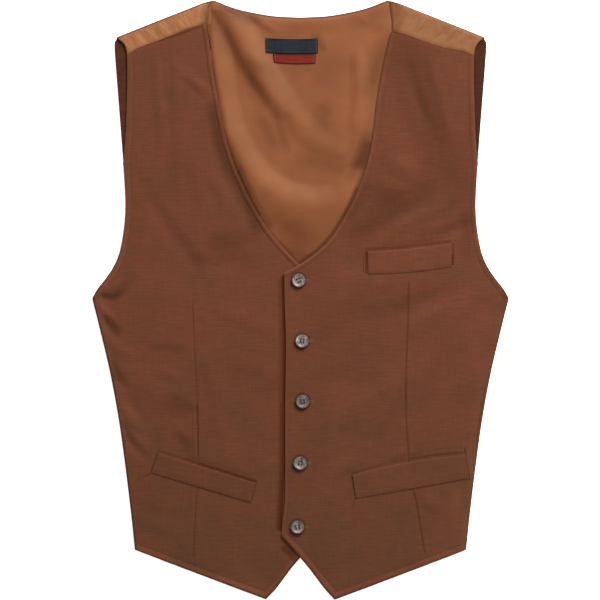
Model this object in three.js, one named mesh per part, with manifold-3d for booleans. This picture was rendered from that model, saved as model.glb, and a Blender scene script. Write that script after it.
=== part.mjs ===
// Suit waistcoat, laid flat on a surface with its front up.
// Millimetres. +X runs to the right of the garment as seen, +Y towards the neck, +Z up.
// The origin is the middle of the laid garment, on the surface.

import * as THREE from 'three';
import { mergeVertices } from 'three/addons/utils/BufferGeometryUtils.js';
import Module from 'manifold-3d';

const wasm = await Module();
wasm.setup();

// Cloth and seams
const FRONT_WALL = 2.0;
const BACK_WALL = 1.5;
const WELT_WALL = 1.2;
const LABEL_WALL = 1.0;
const SEAM_GAP = 0.3;
const LAY_GAP = 0.35;

// Rolls at the two sides and over the two shoulders
const SIDE_ROLL = 3.0;
const SIDE_TURN = 12.0;
const SHOULDER_ROLL = 2.5;

// Landmarks
const UNDERARM_Y = 1.8;
const BACK_HEM_MIDDLE_Y = -259;
const BACK_HEM_SIDE_Y = -263;
const CLOSING_BOTTOM_Y = -253.0;
const SHOULDER_NECK = { x: 98.6, y: 321.1 };
const SHOULDER_TIP = { x: 198.2, y: 282.0 };
const BACK_ARMHOLE_INSET = 1.5;

// Heights of the front cloth's middle over the surface
const EDGE_HEIGHT = 3.0;
const SIDE_HEIGHT = 2 * SIDE_ROLL - FRONT_WALL / 2;
const ARMHOLE_HEIGHT = 3.3;
const SHOULDER_HEIGHT = 2 * SHOULDER_ROLL - FRONT_WALL / 2;
const CROWN = 1.5;
const HEM_DROP = 1.7;

// Buttons
const STRAP_COLUMNS = 8;
const BUTTON = { radius: 7.75, height: 3.2, holeRadius: 0.85, holeOffset: 1.75, sides: 20 };

// Half width of the laid garment, from the hem corner up to the underarm
const SIDE_LINE = [
  { y: -267.3, half: 177.7 },
  { y: -231.8, half: 181.4 },
  { y: -180.3, half: 187.6 },
  { y: -128.7, half: 194.8 },
  { y: -77.2, half: 204.3 },
  { y: -25.6, half: 216.5 },
  { y: 1.8, half: 223.4 },
];

// Half width of the laid garment along the armhole, from the underarm to the shoulder
const ARMHOLE_LINE = [
  { y: 1.8, half: 223.4 },
  { y: 13.0, half: 216.9 },
  { y: 25.9, half: 206.7 },
  { y: 38.8, half: 198.7 },
  { y: 51.7, half: 193.8 },
  { y: 77.5, half: 189.2 },
  { y: 103.3, half: 187.7 },
  { y: 154.8, half: 190.7 },
  { y: 206.4, half: 194.6 },
  { y: 257.9, half: 198.6 },
  { y: 274.0, half: 199.5 },
  { y: 282.0, half: 198.2 },
];

// Half width at the front pieces' own armhole edge, which leaves the back's edge showing above
const FRONT_ARMHOLE_LINE = [
  { y: 147.0, half: 190.2 },
  { y: 161.0, half: 188.7 },
  { y: 172.0, half: 187.7 },
  { y: 193.0, half: 186.9 },
  { y: 215.0, half: 186.2 },
  { y: 240.0, half: 185.6 },
  { y: 264.0, half: 186.0 },
];

// Back neck, from the middle out to the neck point
const NECK_LINE = [
  { x: 0, y: 303.2 },
  { x: 30, y: 304.9 },
  { x: 60, y: 310.3 },
  { x: 75, y: 314.5 },
  { x: 91, y: 320.8 },
  { x: 95, y: 321.4 },
  { x: 98.6, y: 318.8 },
];

// Edges of the under front (wearer's right), from its point at the hem up to the shoulder
const UNDER_CUTAWAY = [
  { y: -320.9, x: -37.1 },
  { y: -309.1, x: -25.9 },
  { y: -283.4, x: -6.6 },
  { y: -253.0, x: 20.9 },
];
const UNDER_CLOSING = [
  { y: -253.0, x: 20.9 },
  { y: 25.9, x: 20.9 },
];
const UNDER_NECKLINE = [
  { y: 25.9, x: 20.9 },
  { y: 37.2, x: -0.5 },
  { y: 48.0, x: -11.3 },
  { y: 68.4, x: -29.5 },
  { y: 88.8, x: -43.5 },
  { y: 107.6, x: -54.2 },
  { y: 129.0, x: -64.4 },
  { y: 152.7, x: -74.1 },
  { y: 184.9, x: -82.7 },
  { y: 240.7, x: -93.1 },
  { y: 279.4, x: -98.5 },
  { y: 296.0, x: -101.5 },
];

// Edges of the over front (wearer's left), which laps over the other at the buttons
const OVER_CUTAWAY = [
  { y: -321.3, x: 36.5 },
  { y: -309.1, x: 25.5 },
  { y: -283.4, x: 6.1 },
  { y: -253.0, x: -20.7 },
];
const OVER_CLOSING = [
  { y: -253.0, x: -20.7 },
  { y: -236.1, x: -19.3 },
  { y: -214.6, x: -17.0 },
  { y: -107.2, x: -16.6 },
  { y: -53.5, x: -15.8 },
  { y: 0.2, x: -17.2 },
  { y: 28.9, x: -17.9 },
];
const OVER_NECKLINE = [
  { y: 28.9, x: -17.9 },
  { y: 33.1, x: -9.1 },
  { y: 42.6, x: 6.4 },
  { y: 53.9, x: 20.9 },
  { y: 64.6, x: 31.7 },
  { y: 86.1, x: 45.6 },
  { y: 107.6, x: 57.0 },
  { y: 145.2, x: 71.2 },
  { y: 177.4, x: 77.7 },
  { y: 215.0, x: 82.2 },
  { y: 257.9, x: 90.5 },
  { y: 288.0, x: 97.7 },
];

// Seam where each front is sewn to its shoulder strap, from the neck outwards
const UNDER_SHOULDER_SEAM = [
  { x: 101.5, y: 296.0 },
  { x: 118.7, y: 292.3 },
  { x: 134.8, y: 285.5 },
  { x: 156.3, y: 276.7 },
  { x: 176.7, y: 269.2 },
  { x: 185.9, y: 262.5 },
];
const OVER_SHOULDER_SEAM = [
  { x: 97.7, y: 288.0 },
  { x: 111.2, y: 284.8 },
  { x: 133.7, y: 276.7 },
  { x: 153.0, y: 270.3 },
  { x: 174.5, y: 266.6 },
  { x: 185.9, y: 261.5 },
];

// Rows of a front: where each starts on the closing or neck edge and ends at the side
const UNDER_ROWS = [
  { inner: -320.9, outer: -267.3, steps: 0 },
  { inner: CLOSING_BOTTOM_Y, outer: -232.0, steps: 6 },
  { inner: -115.0, outer: -115.0, steps: 6 },
  { inner: 25.9, outer: UNDERARM_Y, steps: 7 },
  { inner: 68.4, outer: 54.0, steps: 5 },
  { inner: 152.7, outer: 128.0, steps: 4 },
  { inner: 230.0, outer: 202.0, steps: 4 },
  { inner: 296.0, outer: 262.5, steps: 5 },
];
const OVER_ROWS = [
  { inner: -321.3, outer: -267.3, steps: 0 },
  { inner: CLOSING_BOTTOM_Y, outer: -232.0, steps: 6 },
  { inner: -115.0, outer: -115.0, steps: 6 },
  { inner: 28.9, outer: UNDERARM_Y, steps: 7 },
  { inner: 70.0, outer: 54.0, steps: 5 },
  { inner: 150.0, outer: 128.0, steps: 4 },
  { inner: 225.0, outer: 202.0, steps: 4 },
  { inner: 288.0, outer: 261.5, steps: 5 },
];

// Welts, by their four corners; bow lifts the middle of both long edges
const CHEST_WELT = {
  topLeft: [71.7, 52.2], topRight: [162.2, 61.0],
  bottomLeft: [72.5, 27.8], bottomRight: [161.0, 35.3], bow: -1.0,
};
const RIGHT_HIP_WELT = {
  topLeft: [-152.3, -163.7], topRight: [-47.8, -196.3],
  bottomLeft: [-159.9, -185.1], bottomRight: [-53.8, -216.8], bow: 0,
};
const LEFT_HIP_WELT = {
  topLeft: [55.4, -187.2], topRight: [176.5, -165.8],
  bottomLeft: [59.0, -212.5], bottomRight: [180.2, -191.0], bow: 2.6,
};

// Bare labels on the lining at the neck
const NECK_LABEL = {
  topLeft: [-37.5, 281.0], topRight: [18.6, 280.6],
  bottomLeft: [-37.3, 265.2], bottomRight: [18.6, 264.6], bow: -1.0,
};
const SMALL_LABEL = {
  topLeft: [-29.3, 264.3], topRight: [16.4, 264.0],
  bottomLeft: [-28.2, 254.6], bottomRight: [16.0, 253.8], bow: -1.0,
};

// Button middles, top to bottom
const BUTTONS = [
  { x: -1.9, y: 21.2 },
  { x: 1.8, y: -43.6 },
  { x: 2.4, y: -108.5 },
  { x: -0.2, y: -174.4 },
  { x: -3.2, y: -242.8 },
];

// Soft folds of the lining inside the neck: a ridge line, its height and half width
const LINING_FOLDS = [
  { from: [-84, 268], by: [-71, 215], to: [-52, 156], height: 2.6, reach: 13 },
  { from: [-70, 292], by: [-51, 246], to: [-14, 194], height: 2.8, reach: 13 },
  { from: [-48, 150], by: [-8, 112], to: [52, 136], height: 2.2, reach: 20 },
  { from: [62, 292], by: [66, 240], to: [48, 186], height: 1.6, reach: 16 },
];

function clamp01(value) {
  return Math.min(1, Math.max(0, value));
}

function ease(low, high, value) {
  const t = clamp01((value - low) / (high - low));
  return t * t * (3 - 2 * t);
}

function mix(a, b, t) {
  return a + (b - a) * t;
}

// Smooth value through a table's rows: key is the column it runs along, name the column it gives
function through(rows, key, name, at) {
  const last = rows.length - 1;
  let i = 0;
  while (i < last - 1 && at > rows[i + 1][key]) {
    i += 1;
  }
  const slope = (k) => {
    const a = Math.max(0, k - 1);
    const b = Math.min(last, k + 1);
    return (rows[b][name] - rows[a][name]) / (rows[b][key] - rows[a][key]);
  };
  const span = rows[i + 1][key] - rows[i][key];
  const t = (at - rows[i][key]) / span;
  if (t < 0) {
    return rows[i][name] + slope(i) * (at - rows[i][key]);
  }
  if (t > 1) {
    return rows[i + 1][name] + slope(i + 1) * (at - rows[i + 1][key]);
  }
  const t2 = t * t;
  const t3 = t2 * t;
  return (2 * t3 - 3 * t2 + 1) * rows[i][name] + (t3 - 2 * t2 + t) * slope(i) * span
    + (3 * t2 - 2 * t3) * rows[i + 1][name] + (t3 - t2) * slope(i + 1) * span;
}

function sideHalf(y) {
  return through(SIDE_LINE, 'y', 'half', y);
}

function armholeHalf(y) {
  return through(ARMHOLE_LINE, 'y', 'half', y);
}

function frontArmholeHalf(y) {
  const line = FRONT_ARMHOLE_LINE;
  return y < line[0].y ? armholeHalf(y) : through(line, 'y', 'half', y);
}

function outlineHalf(y) {
  return y < UNDERARM_Y ? sideHalf(y) : armholeHalf(y);
}

// The closing side of a front at height y: cutaway, closing edge, then neck edge
function innerEdge(front, y) {
  if (y < front.cutaway.at(-1).y) {
    return through(front.cutaway, 'y', 'x', y);
  }
  if (y < front.closing.at(-1).y) {
    return through(front.closing, 'y', 'x', y);
  }
  return through(front.neckline, 'y', 'x', y);
}

function shoulderLine(x) {
  const t = (Math.abs(x) - SHOULDER_NECK.x) / (SHOULDER_TIP.x - SHOULDER_NECK.x);
  return mix(SHOULDER_NECK.y, SHOULDER_TIP.y, t);
}

const UNDER = {
  side: -1, lap: 0, rows: UNDER_ROWS, seam: UNDER_SHOULDER_SEAM,
  cutaway: UNDER_CUTAWAY, closing: UNDER_CLOSING, neckline: UNDER_NECKLINE,
};
const OVER = {
  side: 1, lap: FRONT_WALL + LAY_GAP, rows: OVER_ROWS, seam: OVER_SHOULDER_SEAM,
  cutaway: OVER_CUTAWAY, closing: OVER_CLOSING, neckline: OVER_NECKLINE,
};

// How far the over front is lifted where it lies on the under front
function lapLift(front, x, y) {
  const across = 1 - ease(27, 54, x);
  const above = 1 - ease(48, 86, y);
  const below = ease(-310, -279, y);
  return front.lap * across * above * below;
}

// Height of the front cloth's middle: low at its free edges, softly crowned between
function frontHeight(front, x, y) {
  const open = Math.max(0, (innerEdge(OVER, y) - innerEdge(UNDER, y)) / 2);
  const inner = y < UNDER.closing.at(-1).y ? 0 : open;
  const outer = outlineHalf(y) - SIDE_ROLL;
  const across = clamp01((Math.abs(x) - inner) / (outer - inner));
  const edge = mix(SIDE_HEIGHT, ARMHOLE_HEIGHT, ease(UNDERARM_Y, 32, y));
  const crown = CROWN * ease(-345, -200, y) * (1 - 0.7 * ease(150, 260, y));
  const crowned = mix(EDGE_HEIGHT, edge, ease(0, 1, across)) + crown * Math.sin(Math.PI * across);
  const toSeam = 1 - ease(30, 75, shoulderLine(x) - y);
  const drop = HEM_DROP * (1 - ease(-294, -266, y)) * (1 - ease(0.7, 1, across));
  return mix(crowned, SHOULDER_HEIGHT, toSeam) - drop + lapLift(front, x, y);
}

// Height of the lining's soft folds at a point inside the neck
function liningRelief(x, y) {
  let height = 0;
  for (const fold of LINING_FOLDS) {
    const curve = new THREE.QuadraticBezierCurve(
      new THREE.Vector2(...fold.from), new THREE.Vector2(...fold.by), new THREE.Vector2(...fold.to),
    );
    let nearest = Infinity;
    let at = 0;
    for (let i = 0; i <= 24; i += 1) {
      const gap = curve.getPoint(i / 24).distanceTo(new THREE.Vector2(x, y));
      if (gap < nearest) {
        nearest = gap;
        at = i / 24;
      }
    }
    const ends = ease(0, 0.2, at) * (1 - ease(0.75, 1, at));
    height = Math.max(height, fold.height * ends * (1 - ease(0, fold.reach, nearest)));
  }
  return height;
}

function backHeight(x, y) {
  return BACK_WALL / 2 + liningRelief(x, y);
}

// A closed wall of even thickness round patches of points; patches share the points where they join.
// Each patch is a list of rows, and the face of the wall on the left of its rows looks outwards.
function wall(patches, thickness) {
  const points = [];
  const index = new Map();
  const faces = [];
  const pointIndex = (p) => {
    const key = [p.x, p.y, p.z].map((v) => Math.round(v * 1000)).join(',');
    if (!index.has(key)) {
      index.set(key, points.length);
      points.push(p);
    }
    return index.get(key);
  };
  for (const rows of patches) {
    const ids = rows.map((row) => row.map(pointIndex));
    for (let i = 0; i + 1 < ids.length; i += 1) {
      for (let j = 0; j + 1 < ids[i].length; j += 1) {
        const [a, b, c, d] = [ids[i][j], ids[i][j + 1], ids[i + 1][j + 1], ids[i + 1][j]];
        faces.push([a, b, c], [a, c, d]);
      }
    }
  }
  const normals = points.map(() => new THREE.Vector3());
  for (const [a, b, c] of faces) {
    const ab = points[b].clone().sub(points[a]);
    const ac = points[c].clone().sub(points[a]);
    const normal = ab.cross(ac);
    for (const k of [a, b, c]) {
      normals[k].add(normal);
    }
  }
  const count = points.length;
  const outer = points.map((p, k) => p.clone().addScaledVector(normals[k].clone().normalize(), thickness / 2));
  const inner = points.map((p, k) => p.clone().addScaledVector(normals[k].clone().normalize(), -thickness / 2));
  const triangles = [];
  const edges = new Set();
  for (const [a, b, c] of faces) {
    triangles.push([a, b, c], [a + count, c + count, b + count]);
    edges.add(`${a},${b}`).add(`${b},${c}`).add(`${c},${a}`);
  }
  for (const edge of edges) {
    const [a, b] = edge.split(',').map(Number);
    if (!edges.has(`${b},${a}`)) {
      triangles.push([b, a, a + count], [b, a + count, b + count]);
    }
  }
  const geometry = new THREE.BufferGeometry();
  const positions = [...outer, ...inner].flatMap((p) => [p.x, p.y, p.z]);
  geometry.setAttribute('position', new THREE.Float32BufferAttribute(positions, 3));
  geometry.setIndex(triangles.flat());
  return geometry;
}

// A front: rows from its hem to its shoulder seam, with the side rolled round and under
const FRONT_COLUMNS = 16;
const ROLL_STEPS = 6;
const UNDER_STEPS = 3;

function rowHeights(rows) {
  const list = [];
  rows.forEach((row, k) => {
    if (k === 0) {
      list.push({ inner: row.inner, outer: row.outer });
      return;
    }
    const before = rows[k - 1];
    for (let i = 1; i <= row.steps; i += 1) {
      const t = i / row.steps;
      list.push({ inner: mix(before.inner, row.inner, t), outer: mix(before.outer, row.outer, t) });
    }
  });
  return list;
}

// A point on the strap seam, as straight stitches between the strap's columns
function seamPoint(front, t) {
  const station = (k) => {
    const x = mix(front.seam[0].x, front.seam.at(-1).x, k / STRAP_COLUMNS);
    return new THREE.Vector2(front.side * x, through(front.seam, 'x', 'y', x));
  };
  const k = Math.min(STRAP_COLUMNS - 1, Math.floor(t * STRAP_COLUMNS));
  return station(k).lerp(station(k + 1), t * STRAP_COLUMNS - k);
}

function frontPatches(front) {
  const rows = rowHeights(front.rows);
  const topRow = rows.length - 1;
  const main = rows.map((row, i) => {
    const rolled = row.outer <= UNDERARM_Y;
    const outerHalf = rolled ? sideHalf(row.outer) - SIDE_ROLL : frontArmholeHalf(row.outer);
    const start = new THREE.Vector2(innerEdge(front, row.inner), row.inner);
    const end = new THREE.Vector2(front.side * outerHalf, row.outer);
    const points = [];
    for (let j = 0; j <= FRONT_COLUMNS; j += 1) {
      const t = j / FRONT_COLUMNS;
      const p = start.clone().lerp(end, t);
      const toSeam = ease(topRow - 4, topRow, i);
      const seam = seamPoint(front, t).addScaledVector(shoulderOutward(front.side), -SEAM_GAP / 2);
      p.lerp(seam, toSeam);
      points.push(new THREE.Vector3(p.x, p.y, frontHeight(front, p.x, p.y)));
    }
    return points;
  });
  const roll = [];
  rows.forEach((row, i) => {
    if (row.outer > UNDERARM_Y) {
      return;
    }
    const points = [main[i].at(-1)];
    const radius = SIDE_ROLL - FRONT_WALL / 2;
    const middle = sideHalf(row.outer) - SIDE_ROLL;
    for (let k = 1; k <= ROLL_STEPS; k += 1) {
      const angle = Math.PI * k / ROLL_STEPS;
      const x = front.side * (middle + radius * Math.sin(angle));
      points.push(new THREE.Vector3(x, row.outer, SIDE_ROLL + radius * Math.cos(angle)));
    }
    const rise = (underarmCornerY() - UNDERARM_Y) * ease(-45, UNDERARM_Y, row.outer);
    for (let k = 1; k <= UNDER_STEPS; k += 1) {
      const t = k / UNDER_STEPS;
      const y = row.outer + rise * t;
      const half = sideLineHalf(y) - mix(SIDE_ROLL, SIDE_TURN - SEAM_GAP / 2, t);
      points.push(new THREE.Vector3(front.side * half, y, FRONT_WALL / 2));
    }
    roll.push(points);
  });
  const patches = [main, roll];
  return front.side > 0 ? patches : patches.map((rows2) => rows2.map((row) => [...row].reverse()));
}

// The side line carried on straight above the underarm, as the side seam under the roll runs
function sideLineHalf(y) {
  const slope = (sideHalf(UNDERARM_Y) - sideHalf(UNDERARM_Y - 20)) / 20;
  return y < UNDERARM_Y ? sideHalf(y) : sideHalf(UNDERARM_Y) + slope * (y - UNDERARM_Y);
}

// Height at which the side seam meets the back's armhole
function underarmCornerY() {
  let y = UNDERARM_Y;
  while (sideLineHalf(y) - SIDE_TURN < armholeHalf(y) - BACK_ARMHOLE_INSET) {
    y += 0.1;
  }
  return y;
}

function backHalf(y, cornerY) {
  if (y <= cornerY) {
    return sideLineHalf(y) - SIDE_TURN - SEAM_GAP / 2;
  }
  return armholeHalf(y) - BACK_ARMHOLE_INSET * (1 - ease(136, 150, y));
}

// The back: its body lies on the surface, and two straps turn forward over the shoulders
const NECK_COLUMNS = [0, 17, 33, 48, 62, 74, 84, 91, 95];
const STRAP_ROLL_STEPS = 6;
const STRAP_STEPS = 4;
const BACK_ROWS_BELOW = 13;
const BACK_ROWS_ABOVE = 14;

function shoulderOutward(side) {
  const along = new THREE.Vector2(SHOULDER_TIP.x - SHOULDER_NECK.x, SHOULDER_TIP.y - SHOULDER_NECK.y);
  return new THREE.Vector2(-along.y * side, along.x).normalize();
}

// Middle of the shoulder roll at fraction t from the neck to the shoulder's tip
function shoulderMiddle(side, t) {
  const x = mix(SHOULDER_NECK.x, SHOULDER_TIP.x, t);
  const edge = new THREE.Vector2(side * x, shoulderLine(x));
  return edge.addScaledVector(shoulderOutward(side), -SHOULDER_ROLL);
}

function backTopRow() {
  const half = NECK_COLUMNS.map((x) => new THREE.Vector2(x, through(NECK_LINE, 'x', 'y', x)));
  for (let j = 0; j <= STRAP_COLUMNS; j += 1) {
    half.push(shoulderMiddle(1, j / STRAP_COLUMNS));
  }
  const left = half.slice(1).reverse().map((p) => new THREE.Vector2(-p.x, p.y));
  return [...left, ...half];
}

function backPatches() {
  const cornerY = underarmCornerY();
  const top = backTopRow();
  const tip = top.at(-1);
  const edgeHeights = [];
  for (let i = 0; i <= BACK_ROWS_BELOW; i += 1) {
    edgeHeights.push(mix(BACK_HEM_SIDE_Y, cornerY, i / BACK_ROWS_BELOW));
  }
  for (let i = 1; i <= BACK_ROWS_ABOVE; i += 1) {
    edgeHeights.push(mix(cornerY, tip.y, i / BACK_ROWS_ABOVE));
  }
  const body = edgeHeights.map((edgeY, i) => {
    const rise = (edgeY - BACK_HEM_SIDE_Y) / (tip.y - BACK_HEM_SIDE_Y);
    const half = i === edgeHeights.length - 1 ? tip.x : backHalf(edgeY, cornerY);
    return top.map((p) => {
      const hem = mix(BACK_HEM_MIDDLE_Y, BACK_HEM_SIDE_Y, (p.x / tip.x) ** 2);
      const x = p.x / tip.x * half;
      const y = mix(hem, p.y, rise);
      return new THREE.Vector3(x, y, backHeight(x, y));
    }).reverse();
  });
  const strap = (front) => {
    const radius = SHOULDER_ROLL - BACK_WALL / 2;
    const outward = shoulderOutward(front.side);
    const rows = [];
    for (let i = 0; i <= STRAP_ROLL_STEPS; i += 1) {
      const angle = Math.PI * i / STRAP_ROLL_STEPS;
      const row = [];
      for (let j = 0; j <= STRAP_COLUMNS; j += 1) {
        const p = shoulderMiddle(front.side, j / STRAP_COLUMNS);
        p.addScaledVector(outward, radius * Math.sin(angle));
        row.push(new THREE.Vector3(p.x, p.y, SHOULDER_ROLL - radius * Math.cos(angle)));
      }
      rows.push(row);
    }
    for (let i = 1; i <= STRAP_STEPS; i += 1) {
      const t = i / STRAP_STEPS;
      const row = [];
      for (let j = 0; j <= STRAP_COLUMNS; j += 1) {
        const across = j / STRAP_COLUMNS;
        const seam = seamPoint(front, across).addScaledVector(outward, SEAM_GAP / 2);
        const p = shoulderMiddle(front.side, across).lerp(seam, t);
        p.x -= front.side * 2.6 * Math.sin(Math.PI * t) * across ** 3;
        row.push(new THREE.Vector3(p.x, p.y, 2 * SHOULDER_ROLL - BACK_WALL / 2));
      }
      rows.push(row);
    }
    return front.side > 0 ? rows.map((row) => row.reverse()) : rows;
  };
  return [body, strap(OVER), strap(UNDER)];
}

// A flat strip sewn on a surface: a small grid between its four corners, moved out of the cloth
function strip(shape, heightAt, thickness, columns, rowCount) {
  const corner = (name) => new THREE.Vector2(...shape[name]);
  const rows = [];
  for (let i = 0; i <= rowCount; i += 1) {
    const row = [];
    for (let j = 0; j <= columns; j += 1) {
      const t = j / columns;
      const bottom = corner('bottomLeft').lerp(corner('bottomRight'), t);
      const top = corner('topLeft').lerp(corner('topRight'), t);
      const p = bottom.lerp(top, i / rowCount);
      p.y += shape.bow * Math.sin(Math.PI * t);
      row.push(new THREE.Vector3(p.x, p.y, heightAt(p.x, p.y) + SEAM_GAP + thickness / 2));
    }
    rows.push(row);
  }
  return wall([rows], thickness);
}

function onFront(front) {
  return (x, y) => frontHeight(front, x, y) + FRONT_WALL / 2;
}

function onLining(x, y) {
  return backHeight(x, y) + BACK_WALL / 2;
}

function toSolid(geometry) {
  const plain = geometry.clone();
  plain.deleteAttribute('normal');
  plain.deleteAttribute('uv');
  const merged = mergeVertices(plain, 1e-4);
  return new wasm.Manifold(new wasm.Mesh({
    numProp: 3,
    vertProperties: new Float32Array(merged.attributes.position.array),
    triVerts: new Uint32Array(merged.index.array),
  }));
}

function fromSolid(solid) {
  const mesh = solid.getMesh();
  const geometry = new THREE.BufferGeometry();
  geometry.setAttribute('position', new THREE.Float32BufferAttribute(mesh.vertProperties, 3));
  geometry.setIndex([...mesh.triVerts]);
  return geometry;
}

// A four-hole button with a raised round rim, its flat underside at z 0
function buttonGeometry() {
  const r = BUTTON.radius;
  const h = BUTTON.height;
  const profile = [
    [0, 0], [r - 1.4, 0], [r - 0.3, 0.3 * h], [r, 0.6 * h], [r - 0.9, h],
    [r - 1.9, 0.95 * h], [r - 3.2, 0.68 * h], [0, 0.62 * h],
  ];
  const disc = new THREE.LatheGeometry(profile.map(([x, y]) => new THREE.Vector2(x, y)), BUTTON.sides);
  disc.rotateX(Math.PI / 2);
  let solid = toSolid(disc);
  for (const sx of [-1, 1]) {
    for (const sy of [-1, 1]) {
      const hole = new THREE.CylinderGeometry(BUTTON.holeRadius, BUTTON.holeRadius, 3 * h, 8);
      hole.rotateX(Math.PI / 2);
      hole.translate(sx * BUTTON.holeOffset, sy * BUTTON.holeOffset, 0);
      solid = solid.subtract(toSolid(hole));
    }
  }
  return fromSolid(solid);
}

const suiting = new THREE.MeshStandardMaterial({ color: 0x70422e, roughness: 0.85, metalness: 0 });
const satin = new THREE.MeshStandardMaterial({ color: 0xa06441, roughness: 0.45, metalness: 0 });
const horn = new THREE.MeshStandardMaterial({ color: 0x8d7c6c, roughness: 0.35, metalness: 0 });
const blackLabel = new THREE.MeshStandardMaterial({ color: 0x1c1b1e, roughness: 0.7, metalness: 0 });
const redLabel = new THREE.MeshStandardMaterial({ color: 0xa32a27, roughness: 0.7, metalness: 0 });

const waistcoat = new THREE.Group();

function addPiece(name, geometry, material) {
  const mesh = new THREE.Mesh(geometry, material);
  mesh.name = name;
  waistcoat.add(mesh);
  return mesh;
}

addPiece('back', wall(backPatches(), BACK_WALL), satin);
addPiece('right_front', wall(frontPatches(UNDER), FRONT_WALL), suiting);
addPiece('left_front', wall(frontPatches(OVER), FRONT_WALL), suiting);
addPiece('chest_welt', strip(CHEST_WELT, onFront(OVER), WELT_WALL, 9, 2), suiting);
addPiece('right_hip_welt', strip(RIGHT_HIP_WELT, onFront(UNDER), WELT_WALL, 10, 2), suiting);
addPiece('left_hip_welt', strip(LEFT_HIP_WELT, onFront(OVER), WELT_WALL, 12, 2), suiting);
addPiece('neck_label', strip(NECK_LABEL, onLining, LABEL_WALL, 8, 2), blackLabel);
addPiece('small_label', strip(SMALL_LABEL, onLining, LABEL_WALL, 6, 1), redLabel);

// A button rests on the highest cloth under its rim
function seatHeight(x, y) {
  const heights = [onFront(OVER)(x, y)];
  for (let k = 0; k < 12; k += 1) {
    const angle = 2 * Math.PI * k / 12;
    heights.push(onFront(OVER)(x + BUTTON.radius * Math.cos(angle), y + BUTTON.radius * Math.sin(angle)));
  }
  return Math.max(...heights);
}

BUTTONS.forEach(({ x, y }, i) => {
  const button = addPiece(`button_${i + 1}`, buttonGeometry(), horn);
  button.position.set(x, y, seatHeight(x, y) + SEAM_GAP);
});

export default waistcoat;
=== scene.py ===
# Suit waistcoat laid flat with its front up: cloth, sewing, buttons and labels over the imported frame.
# Blender's own units are metres. The tables are in millimetres, and repeat the part's own lines.

import math

import bpy
from mathutils import Matrix, Vector, noise


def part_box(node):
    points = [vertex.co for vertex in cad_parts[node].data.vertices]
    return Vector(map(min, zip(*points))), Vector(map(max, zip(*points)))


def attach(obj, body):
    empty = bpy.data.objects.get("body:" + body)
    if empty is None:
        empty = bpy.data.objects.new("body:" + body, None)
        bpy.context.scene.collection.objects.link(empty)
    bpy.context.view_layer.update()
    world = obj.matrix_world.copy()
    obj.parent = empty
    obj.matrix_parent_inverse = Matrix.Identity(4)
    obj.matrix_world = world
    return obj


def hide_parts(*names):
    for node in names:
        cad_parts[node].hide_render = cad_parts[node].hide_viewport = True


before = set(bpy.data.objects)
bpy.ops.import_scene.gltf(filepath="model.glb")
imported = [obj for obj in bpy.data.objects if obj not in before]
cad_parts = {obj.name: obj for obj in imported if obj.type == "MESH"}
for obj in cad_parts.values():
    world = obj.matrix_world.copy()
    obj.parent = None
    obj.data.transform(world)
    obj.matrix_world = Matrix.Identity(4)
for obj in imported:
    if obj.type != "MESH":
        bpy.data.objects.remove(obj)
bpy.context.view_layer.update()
bpy.ops.object.select_all(action="DESELECT")

MM = 0.001

# The photograph: straight down, one pixel is 1.074 mm on the cloth
PIXELS = 600
MM_PER_PIXEL = 1.074
PHOTO_MIDDLE = (300.5, 300.15)
LENS = 200.0
SENSOR = 36.0
CAMERA_NEARER = 0.998


def at_pixel(px, py):
    """Millimetres on the laid garment at a pixel of the photograph"""
    return (px - PHOTO_MIDDLE[0]) * MM_PER_PIXEL, (PHOTO_MIDDLE[1] - py) * MM_PER_PIXEL


def at_pixels(points):
    return [at_pixel(px, py) for px, py in points]


# Sizes of the cloth, as in the part's source
FRONT_WALL = 2.0
BACK_WALL = 1.5
WELT_WALL = 1.2
LABEL_WALL = 1.0
SEAM_GAP = 0.3
SHOWN_SEAM_GAP = 0.06
LAY_GAP = 0.35
SIDE_ROLL = 3.0
SIDE_TURN = 12.0
SHOULDER_ROLL = 2.5
UNDERARM_Y = 1.8
BACK_HEM_MIDDLE_Y = -259.0
BACK_HEM_SIDE_Y = -263.0
CLOSING_BOTTOM_Y = -253.0
SHOULDER_NECK = (98.6, 321.1)
SHOULDER_TIP = (198.2, 282.0)
BACK_ARMHOLE_INSET = 1.5
EDGE_HEIGHT = 3.0
SIDE_HEIGHT = 2 * SIDE_ROLL - FRONT_WALL / 2
ARMHOLE_HEIGHT = 3.3
SHOULDER_HEIGHT = 2 * SHOULDER_ROLL - FRONT_WALL / 2
CROWN = 1.5
HEM_DROP = 1.7
STRAP_COLUMNS = 8
# Painted shade and light: how much deeper the rolled sides, shoulder folds, straps and edges are painted, and
# how much lighter the lit edges and shaded rims are painted
RIGHT_ROLL_SHADE = 0.65
LEFT_ROLL_SHADE = 0.45
STRAP_ROLL_SHADE = 1.2
LEFT_STRAP_PAINTED_SHADE = 0.5
STRAP_SEAM_SHADE = 0.3
EDGE_SHADE = 0.85
EDGE_SHADE_FADE = (0.9, 3.2)
RIM_LIGHT = 0.9
RIM_LIGHT_FADE = (0.2, 1.7)
WELT_TOP_LIGHT = 0.22
WELT_SEAM_LIGHT = 0.7
# Form: small lifts of the lining, and drops and reach of the edges beside it
ARMHOLE_RIM_DROP = 0.6
ARMHOLE_LIFT = 0.8
NECK_LIFT = 0.7
NECK_END_DROP = 2.7
NECK_END_REACH = 2.6
NECK_END_GAP = 0.5

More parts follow.
